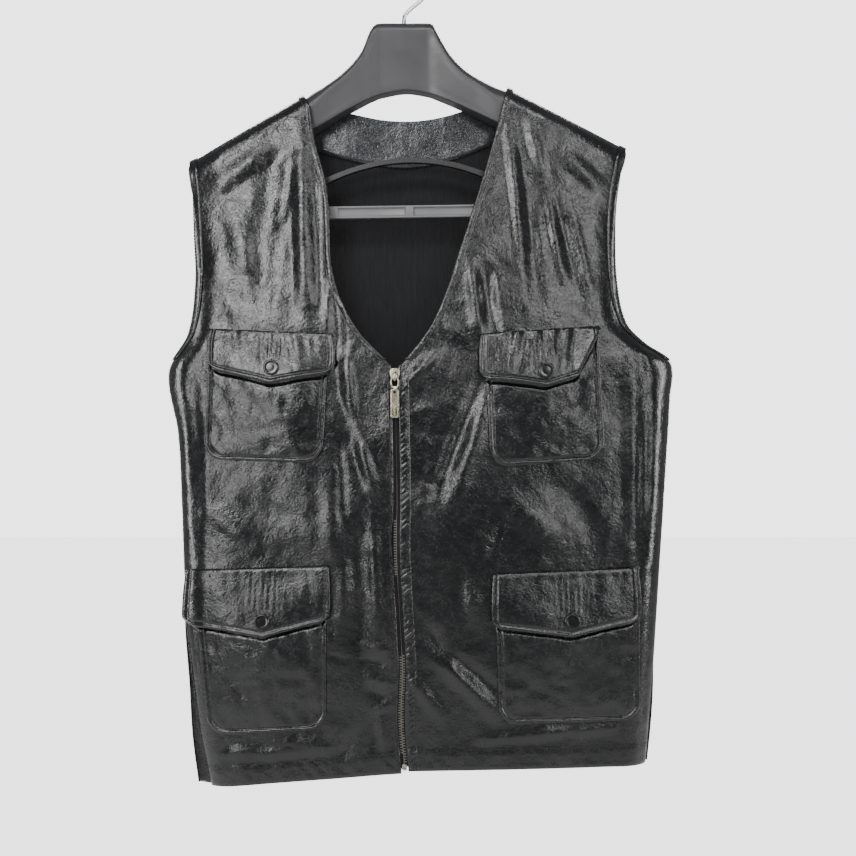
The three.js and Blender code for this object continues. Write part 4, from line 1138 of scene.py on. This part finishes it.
def curvePiece(name, points, radius, closed=False):
    data = bpy.data.curves.new(name, "CURVE")
    data.dimensions = "3D"
    spline = data.splines.new("NURBS")
    spline.points.add(len(points) - 1)
    for target, p in zip(spline.points, points):
        target.co = (p[0] * mm, p[1] * mm, p[2] * mm, 1)
    spline.use_endpoint_u = not closed
    spline.use_cyclic_u = closed
    spline.order_u = 4
    spline.resolution_u = 6
    data.bevel_depth = radius * mm
    data.bevel_resolution = 5
    data.use_fill_caps = True
    piece = bpy.data.objects.new(name, data)
    bpy.context.collection.objects.link(piece)
    onlySelect(piece)
    bpy.ops.object.convert(target="MESH")
    piece = bpy.context.object
    openAll(piece)
    bpy.ops.mesh.remove_doubles(threshold=0.01 * mm)
    faceOutwards()
    bpy.ops.object.mode_set(mode="OBJECT")
    bpy.ops.object.shade_smooth_by_angle(angle=radians(45))
    return piece


def wireHook():
    middle = hookSize["inner"] + hookSize["wire"]
    points = [(0, 0, plateTop + up) for up in (hookSize["seat"], *hookSize["straight"])]
    for degree in range(hookSize["first"], hookSize["last"] + 1, hookSize["step"]):
        a = radians(degree)
        points.append((middle * cos(a), 0, -hookSize["inner"] + middle * sin(a)))
    return curvePiece("wire_hook", points, hookSize["wire"])


hook = wireHook()

# Zip slider: a bevelled body with a rounded crown, and the pull that hangs from it
print("slider and pull")
slider = dict(wide=10, thick=4.4, recess=1.1, proud=0.35, crown=(2.1, 2.5, 4.7), crownDrop=8, crownOut=0.9)
sliderShape = [(0, 1.6), (0.6, 3.1), (1.8, 4.3), (3.4, slider["wide"] / 2), (6.4, 4.7), (9, 3.7), (11, 2.5)]


def nodeBox(node):  # lowest and highest corners of a frame node, and its middle
    low, high = (Vector(corner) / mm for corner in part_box(node))
    return low, high, (low + high) / 2


recessSlope = 0.25


def cutPlate(name, x, top, profile, back, thick, inset=0, sink=0):  # an outline of half widths, by drop
    points = [(x + w, back, top - d) for d, w in profile]
    points += [(x - w, back, top - d) for d, w in reversed(profile)]
    mesh = bpy.data.meshes.new(name)
    mesh.from_pydata([Vector(p) * mm for p in points], [], [tuple(range(len(points)))])
    piece = bpy.data.objects.new(name, mesh)
    bpy.context.collection.objects.link(piece)
    openAll(piece)
    bpy.ops.mesh.remove_doubles(threshold=0.01 * mm)
    bpy.ops.mesh.select_all(action="SELECT")
    bpy.ops.mesh.extrude_region_move(TRANSFORM_OT_translate={"value": (0, -thick * mm, 0)})
    faceOutwards()
    if inset:
        selectFaces(piece, lambda m, n: n.y < -0.9)
        bpy.ops.mesh.inset(thickness=inset * mm, depth=0)
        bpy.ops.mesh.inset(thickness=recessSlope * mm, depth=-sink * mm)
    bpy.ops.object.mode_set(mode="OBJECT")
    return piece


def joinPieces(name, pieces):
    bpy.ops.object.select_all(action="DESELECT")
    for piece in pieces:
        piece.select_set(True)
    bpy.context.view_layer.objects.active = pieces[0]
    bpy.ops.object.join()
    return intoMesh(pieces[0], name)


sliderHigh, sliderMiddle = nodeBox("zip_slider")[1:]
plateBody = cutPlate("slider_body", sliderMiddle.x, sliderHigh.z, sliderShape, sliderHigh.y, slider["thick"],
                     slider["recess"], -slider["proud"])
softenEdges(plateBody, 0.5, 3)
bpy.ops.object.select_all(action="DESELECT")
bpy.ops.mesh.primitive_uv_sphere_add(segments=32, ring_count=16, radius=1, location=(0, 0, 0))
crown = bpy.context.object
crown.scale = [part * mm for part in slider["crown"]]
crown.location = Vector((sliderMiddle.x, sliderHigh.y - slider["thick"] - slider["crownOut"],
                         sliderHigh.z - slider["crownDrop"])) * mm
intoMesh(crown, "slider_crown")
bpy.ops.object.shade_smooth()
sliderPiece = joinPieces("slider", [plateBody, crown])

pull = dict(ringWide=9, ringHigh=13.6, ringWire=0.8, ringPoints=24, narrow=0.30, tabWide=7.7, tabHigh=27.6,
            tabThick=1.7, recess=1.25, sunk=0.55, hole=1.3, holeDrop=2.7)
pullLow, pullHigh, pullMiddle = nodeBox("zip_pull")
ring = []
for k in range(pull["ringPoints"]):  # an oval ring that narrows to a neck at its foot
    a = 2 * pi * k / pull["ringPoints"]
    narrow = 1 - pull["narrow"] * max(0, -cos(a)) ** 2
    ring.append((pullMiddle.x + (pull["ringWide"] / 2 - pull["ringWire"]) * sin(a) * narrow, pullMiddle.y,
                 pullHigh.z - pull["ringHigh"] / 2 + (pull["ringHigh"] / 2 - pull["ringWire"]) * cos(a)))
ringPiece = curvePiece("pull_ring", ring, pull["ringWire"], closed=True)
tabTop = pullLow.z + pull["tabHigh"]
neckShape, neckThick = [(-3.2, 1.1), (-1.6, 1.0), (0.8, 1.5)], 1.2
neckPiece = cutPlate("pull_neck", pullMiddle.x, tabTop, neckShape, pullMiddle.y + neckThick / 2, neckThick)
softenEdges(neckPiece, 0.35, 2)
wide = pull["tabWide"] / 2
tabShape = [(0, wide - 1.3), (0.4, wide - 0.5), (1.2, wide), (pull["tabHigh"] - 1.2, wide),
            (pull["tabHigh"] - 0.4, wide - 0.4), (pull["tabHigh"], wide - 1.2)]
tabPiece = cutPlate("pull_tab", pullMiddle.x, tabTop, tabShape, pullMiddle.y + pull["tabThick"] / 2,
                    pull["tabThick"], pull["recess"], pull["sunk"])
softenEdges(tabPiece, 0.22, 2)
bpy.ops.object.select_all(action="DESELECT")
bpy.ops.mesh.primitive_cylinder_add(
    vertices=24, radius=pull["hole"] * mm, depth=8 * mm, rotation=(pi / 2, 0, 0),
    location=(pullMiddle.x * mm, pullMiddle.y * mm, (tabTop - pull["holeDrop"]) * mm))
drill = bpy.context.object
hole = tabPiece.modifiers.new("hole", "BOOLEAN")
hole.operation = "DIFFERENCE"
hole.object = drill
hole.solver = "EXACT"
applyAll(tabPiece)
bpy.data.objects.remove(drill)
pullPiece = joinPieces("pull_tab", [tabPiece, neckPiece, ringPiece])

stopLow, stopHigh, stopMiddle = nodeBox("zip_stop")
stopShape = [(0, 1.6), (0.8, 2.4), (5.2, 2.4), (6, 1.6)]
stopPiece = cutPlate("bottom_stop", stopMiddle.x, stopHigh.z, stopShape, stopHigh.y,
                     stopHigh.y - stopLow.y, 0.8, 0.4)
softenEdges(stopPiece, 0.3, 2)

# Finishes
looks = dict(
    hideDark=(0.0028, 0.0030, 0.0036), hideLight=(0.0065, 0.0067, 0.0076), hideRough=(0.16, 0.25),
    liningDark=(0.0055, 0.0058, 0.007), liningLight=(0.016, 0.0165, 0.018),
    tapeDark=(0.004, 0.004, 0.005), tapeLight=(0.014, 0.014, 0.016),
    # the rail's tone is the hanger's own plastic painted near-black: painted shade for the rail's shadowed
    # underside
    plastic=(0.022, 0.022, 0.024), barPlastic=(0.12, 0.12, 0.125), railPlasticPaintedShade=(0.003, 0.003, 0.0035),
    metal=(0.50, 0.47, 0.37), metalDull=(0.24, 0.22, 0.14),
    tooth=(0.20, 0.19, 0.17), toothDull=(0.12, 0.11, 0.10),
    chrome=(0.62, 0.63, 0.65), chromeDull=(0.52, 0.53, 0.55),
    lacquerDark=(0.0025, 0.0025, 0.003), lacquerLight=(0.006, 0.006, 0.0065),
    threadDark=(0.010, 0.010, 0.012), threadLight=(0.034, 0.034, 0.037),
    paper=((0.80, 0.80, 0.79), (0.84, 0.84, 0.835)),
)
hideRelief = rows(  # each layer's size and depth in metres, and how strongly it shows
    "name size detail deep strength",
    ("folds", 0.034, 2, 0.0026, 0.7),
    ("creases", 0.010, 3, 0.0006, 0.7),
    ("speckle", 0.0024, 1, 0.00028, 0.8))


class Finish:  # a short way to lay out a material's nodes
    def __init__(self, name, **values):
        self.material = bpy.data.materials.new(name)
        self.material.use_nodes = True
        self.tree = self.material.node_tree
        self.shader = self.tree.nodes["Principled BSDF"]
        for key, value in values.items():
            self.shader.inputs[key].default_value = value
        self.place = self.add("ShaderNodeTexCoord").outputs["Object"]

    def add(self, kind, links=None, **settings):
        node = self.tree.nodes.new(kind)
        for key, value in settings.items():
            if hasattr(node, key):
                setattr(node, key, value)
            else:
                node.inputs[key].default_value = value
        for key, source in (links or {}).items():
            self.tree.links.new(source, node.inputs[key])
        return node

    def stretch(self, scale, turn=(0, 0, 0)):
        node = self.add("ShaderNodeMapping", {"Vector": self.place})
        node.inputs["Scale"].default_value = scale
        node.inputs["Rotation"].default_value = turn
        return node.outputs["Vector"]

    def clouds(self, size, detail=3, rough=0.5, place=None):
        node = self.add("ShaderNodeTexNoise", {"Vector": place or self.place}, Scale=1 / size, Detail=detail,
                        Roughness=rough)
        return node.outputs["Fac"]

    def cells(self, size):
        node = self.add("ShaderNodeTexVoronoi", {"Vector": self.place}, feature="DISTANCE_TO_EDGE",
                        Scale=1 / size)
        return node.outputs["Distance"]

    def ramp(self, source, low, high, *, smooth=False):
        node = self.add("ShaderNodeMapRange", {"Value": source})
        node.interpolation_type = "SMOOTHSTEP" if smooth else "LINEAR"
        node.inputs["From Min"].default_value, node.inputs["From Max"].default_value = low
        node.inputs["To Min"].default_value, node.inputs["To Max"].default_value = high
        return node.outputs["Result"]

    def blend(self, factor, a, b):
        node = self.add("ShaderNodeMix", {"Factor": factor}, data_type="RGBA")
        for socket, value in ((node.inputs[6], a), (node.inputs[7], b)):
            if isinstance(value, tuple):
                socket.default_value = (*value, 1)
            else:
                self.tree.links.new(value, socket)
        return node.outputs[2]

    def maths(self, operation, a, b):
        node = self.add("ShaderNodeMath", operation=operation)
        for socket, value in zip(node.inputs, (a, b)):
            if isinstance(value, (int, float)):
                socket.default_value = value
            else:
                self.tree.links.new(value, socket)
        return node.outputs[0]

    def bump(self, height, distance, strength=1, under=None):
        links = {"Height": height}
        if under:
            links["Normal"] = under
        node = self.add("ShaderNodeBump", links, Distance=distance, Strength=strength)
        return node.outputs["Normal"]

    def wire(self, source, socket):
        self.tree.links.new(source, self.shader.inputs[socket])


def hideFinish(name, fine=1.0, pale=1.0):
    f = Finish(name, **{"Specular IOR Level": 0.55, "IOR": 1.5, "Sheen Weight": 0.02})
    patches = f.clouds(0.05, 4, 0.6)
    wear = f.clouds(0.009, 3, 0.55)
    tones = [tuple(pale * part for part in looks[tone]) for tone in ("hideDark", "hideLight")]
    f.wire(f.blend(f.ramp(patches, (0.35, 0.68), (0, 1)), *tones), "Base Color")
    rough = f.ramp(patches, (0.3, 0.7), looks["hideRough"])
    rough = f.maths("ADD", rough, f.ramp(wear, (0.3, 0.7), (-0.05, 0.07)))
    f.wire(f.maths("ADD", rough, f.ramp(f.clouds(0.0024, 1, 0.5), (0.35, 0.65), (-0.05, 0.06))), "Roughness")
    normal = None
    for layer in hideRelief:
        deep = layer["deep"] * (1 if layer["name"] == "speckle" else fine)
        normal = f.bump(f.clouds(layer["size"], layer["detail"]), deep, layer["strength"], normal)
    grain = f.ramp(f.cells(0.0016), (0, 0.25), (0, 1), smooth=True)
    f.wire(f.bump(grain, 0.00005, 0.6, normal), "Normal")
    return f.material


def liningFinish():
    f = Finish("lining_cloth", **{"Specular IOR Level": 0.25, "Sheen Weight": 0.25, "Sheen Roughness": 0.5})
    ribs = f.add("ShaderNodeTexWave", {"Vector": f.place}, bands_direction="X", Scale=180.0, Distortion=1.4,
                 Detail=2.0).outputs["Fac"]
    ranks = f.add("ShaderNodeTexWave", {"Vector": f.place}, bands_direction="Z", Scale=260.0, Distortion=2.0,
                  Detail=2.0).outputs["Fac"]
    slub = f.clouds(0.004, 3, 0.6, f.stretch((1, 1, 0.15)))
    weave = f.maths("MULTIPLY", ribs, f.ramp(ranks, (0, 1), (0.55, 1)))
    f.wire(f.blend(f.maths("MULTIPLY", weave, slub), looks["liningDark"], looks["liningLight"]), "Base Color")
    f.wire(f.ramp(slub, (0.3, 0.7), (0.75, 0.95)), "Roughness")
    f.wire(f.bump(weave, 0.0004, 0.9), "Normal")
    return f.material


def tapeFinish():
    f = Finish("zip_tape_cloth", **{"Specular IOR Level": 0.3})
    twill = f.add("ShaderNodeTexWave", {"Vector": f.place}, bands_direction="DIAGONAL", Scale=300.0,
                  Distortion=0.6).outputs["Fac"]
    tone = f.maths("MULTIPLY", twill, f.clouds(0.003))
    f.wire(f.blend(tone, looks["tapeDark"], looks["tapeLight"]), "Base Color")
    f.wire(f.ramp(f.clouds(0.006), (0.3, 0.7), (0.7, 0.9)), "Roughness")
    f.wire(f.bump(twill, 0.0002, 0.8), "Normal")
    return f.material


def metalFinish(name, metal, rough):
    f = Finish(name, Metallic=1.0)
    haze = f.clouds(0.004, 4, 0.6)
    f.wire(f.blend(f.ramp(haze, (0.4, 0.7), (0, 1)), looks[metal], looks[metal + "Dull"]), "Base Color")
    scuffs = f.clouds(0.0008, 3, 0.7, f.stretch((1, 1, 0.12)))
    f.wire(f.maths("ADD", f.ramp(haze, (0.3, 0.7), (rough - 0.05, rough + 0.09)),
                   f.ramp(scuffs, (0.4, 0.7), (0, 0.07))), "Roughness")
    f.wire(f.bump(scuffs, 0.00004, 0.5), "Normal")
    return f.material


def plasticFinish(name, tone):
    f = Finish(name, **{"Specular IOR Level": 0.5})
    cloud = f.clouds(0.04, 3, 0.5)
    f.wire(f.blend(cloud, tone, tuple(1.5 * part for part in tone)), "Base Color")
    scuffs = f.clouds(0.002, 4, 0.65, f.stretch((0.3, 1, 1)))
    rough = f.ramp(cloud, (0.3, 0.7), (0.3, 0.4))
    f.wire(f.maths("ADD", rough, f.ramp(scuffs, (0.45, 0.75), (0, 0.1))), "Roughness")
    f.wire(f.bump(f.clouds(0.0009, 2, 0.6), 0.00006, 0.5), "Normal")
    return f.material


def smallFinish(name, kind, level, cloud, rough, relief, deep):  # for snaps and thread
    f = Finish(name, **{"Specular IOR Level": level})
    haze = f.clouds(*cloud)
    f.wire(f.blend(haze, looks[kind + "Dark"], looks[kind + "Light"]), "Base Color")
    f.wire(f.ramp(haze, (0.3, 0.7), rough), "Roughness")
    f.wire(f.bump(f.clouds(*relief), *deep), "Normal")
    return f.material


print("finishes")
hideLook = hideFinish("black_nappa")
otherLooks = {"hide_zip_strip": hideFinish("black_nappa_gathered", 1.3),
              "hide_neck_facing": hideFinish("grey_nappa_facing", 0.8, 5)}
liningLook, tapeLook = liningFinish(), tapeFinish()
lacquerLook = smallFinish("snap_lacquer", "lacquer", 0.5, (0.003, 4, 0.6), (0.13, 0.2),
                          (0.0012, 3), (0.00005, 0.5))
threadLook = smallFinish("black_thread", "thread", 0.45, (0.0006, 2, 0.6), (0.4, 0.6),
                         (0.0006, 2, 0.6), (0.0001, 0.6))
plasticLook = plasticFinish("hanger_plastic_satin", looks["plastic"])
barLook = plasticFinish("hanger_bar_plastic", looks["barPlastic"])
# The rail gets a near-black copy of the hanger plastic: painted shade standing in for the shadow on its
# underside
railPaintedShadeLook = plasticFinish("hanger_rail_plastic_painted_shade", looks["railPlasticPaintedShade"])
metalLook = metalFinish("pale_zip_metal", "metal", 0.24)
toothLook = metalFinish("zip_teeth_metal", "tooth", 0.38)
chromeLook = metalFinish("hook_chrome", "chrome", 0.14)


def dress(piece, look, node=None, body="root"):
    piece.data.materials.clear()
    piece.data.materials.append(look)
    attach(piece, body)
    if node:
        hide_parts(node)


for piece, node in hides:
    dress(piece, otherLooks.get(piece.name, hideLook), node)
dress(liningPiece, liningLook, "back_lining")
for piece, node in tapes:
    dress(piece, tapeLook, node)
dress(teethPiece, toothLook)
dress(seamPiece, threadLook)
for piece, node in caps:
    dress(piece, lacquerLook, node)
dress(arms, plasticLook, "hanger_body")
dress(bar, barLook, "trouser_bar")
dress(rail, railPaintedShadeLook, "hanger_bow")
dress(hook, chromeLook, "hook")
dress(sliderPiece, metalLook, "zip_slider")
dress(stopPiece, metalLook, "zip_stop")
dress(pullPiece, metalLook, "zip_pull", "pull")

for piece, grid, flat, rests in sheets:
    grid.area() * mm * mm

# Camera, floor and soft studio light
studio = dict(room=0.26, backdrop=3.4, floor=3.0, floorZ=-1.12, tone=(0.93, 0.94, 0.95, 1))
view = dict(eye=(0.024, -1.4, -0.466), lens=58.88, sensor=36)
camera = bpy.data.objects.new("camera", bpy.data.cameras.new("camera"))
bpy.context.collection.objects.link(camera)
camera.location = view["eye"]
camera.rotation_euler = (pi / 2, 0, 0)
camera.data.lens = view["lens"]
camera.data.sensor_width = view["sensor"]
bpy.context.scene.camera = camera

bpy.ops.object.select_all(action="DESELECT")
bpy.ops.mesh.primitive_plane_add(size=14, location=(0, 0, studio["floorZ"]))
floorPlane = bpy.context.object
floorPlane.name = "floor"
paper = Finish("pale_paper")
paper.wire(paper.blend(paper.clouds(0.4), *looks["paper"]), "Base Color")
paper.wire(paper.ramp(paper.clouds(0.02), (0.3, 0.7), (0.75, 0.85)), "Roughness")
glow = paper.add("ShaderNodeEmission", Color=studio["tone"], Strength=studio["floor"])
lit = paper.add("ShaderNodeMixShader", {"Fac": paper.add("ShaderNodeLightPath").outputs["Is Camera Ray"]})
paper.tree.links.new(paper.shader.outputs[0], lit.inputs[1])
paper.tree.links.new(glow.outputs[0], lit.inputs[2])
paper.tree.links.new(lit.outputs[0], paper.tree.nodes["Material Output"].inputs["Surface"])
floorPlane.data.materials.append(paper.material)

world = bpy.data.worlds.new("studio")
world.use_nodes = True
pale = world.node_tree.nodes["Background"]
pale.inputs["Color"].default_value = studio["tone"]
seen = world.node_tree.nodes.new("ShaderNodeLightPath").outputs["Is Camera Ray"]
strength = world.node_tree.nodes.new("ShaderNodeMapRange")  # a pale backdrop round a dimmer room
strength.inputs["To Min"].default_value = studio["room"]
strength.inputs["To Max"].default_value = studio["backdrop"]
world.node_tree.links.new(seen, strength.inputs["Value"])
world.node_tree.links.new(strength.outputs["Result"], pale.inputs["Strength"])
bpy.context.scene.world = world


# The hide mirrors the room: panels stand to both sides of the camera and above it, with the dark between.
# Glow is how bright a panel itself is; those with two facings stand behind the vest too.
lamps = rows(
    "name x y z aimX aimZ wide high glow facings",
    ("left_high", -0.5, 1.5, 0.12, -0.2, -0.2, 0.42, 0.5, 17, 2),
    ("left_low", -0.7, 1.5, -0.5, -0.2, -0.5, 0.24, 0.6, 10.2, 2),
    ("right_high", 0.47, 1.5, 0.12, 0.2, -0.2, 0.3, 0.4, 9.5, 2),
    ("right_low", 0.78, 1.5, -0.35, 0.2, -0.45, 0.2, 0.6, 9.5, 2),
    ("upper", -0.05, 1.15, 0.75, 0, -0.2, 1.2, 0.22, 15, 2),
    ("far_left", -1.6, 0.3, -0.3, 0, -0.5, 0.4, 1.1, 12, 1),
    ("far_right", 1.7, 0.3, -0.3, 0, -0.5, 0.4, 1.1, 12, 1))


def softLight(name, lamp, facing):
    data = bpy.data.lights.new(name, "AREA")
    data.shape = "RECTANGLE"
    data.size = lamp["wide"]
    data.size_y = lamp["high"]
    data.energy = lamp["glow"] * pi * lamp["wide"] * lamp["high"]
    light = bpy.data.objects.new(name, data)
    bpy.context.collection.objects.link(light)
    light.location = (lamp["x"], lamp["y"] * facing, lamp["z"])
    aim = Vector((lamp["aimX"], 0, lamp["aimZ"])) - light.location
    light.rotation_euler = aim.to_track_quat("-Z", "Y").to_euler()
    light.visible_camera = False


for facing, name in ((-1, "front"), (1, "back")):
    for lamp in lamps:
        if facing == -1 or lamp["facings"] == 2:
            softLight(f"{lamp['name']}_{name}", lamp, facing)

print("finished")
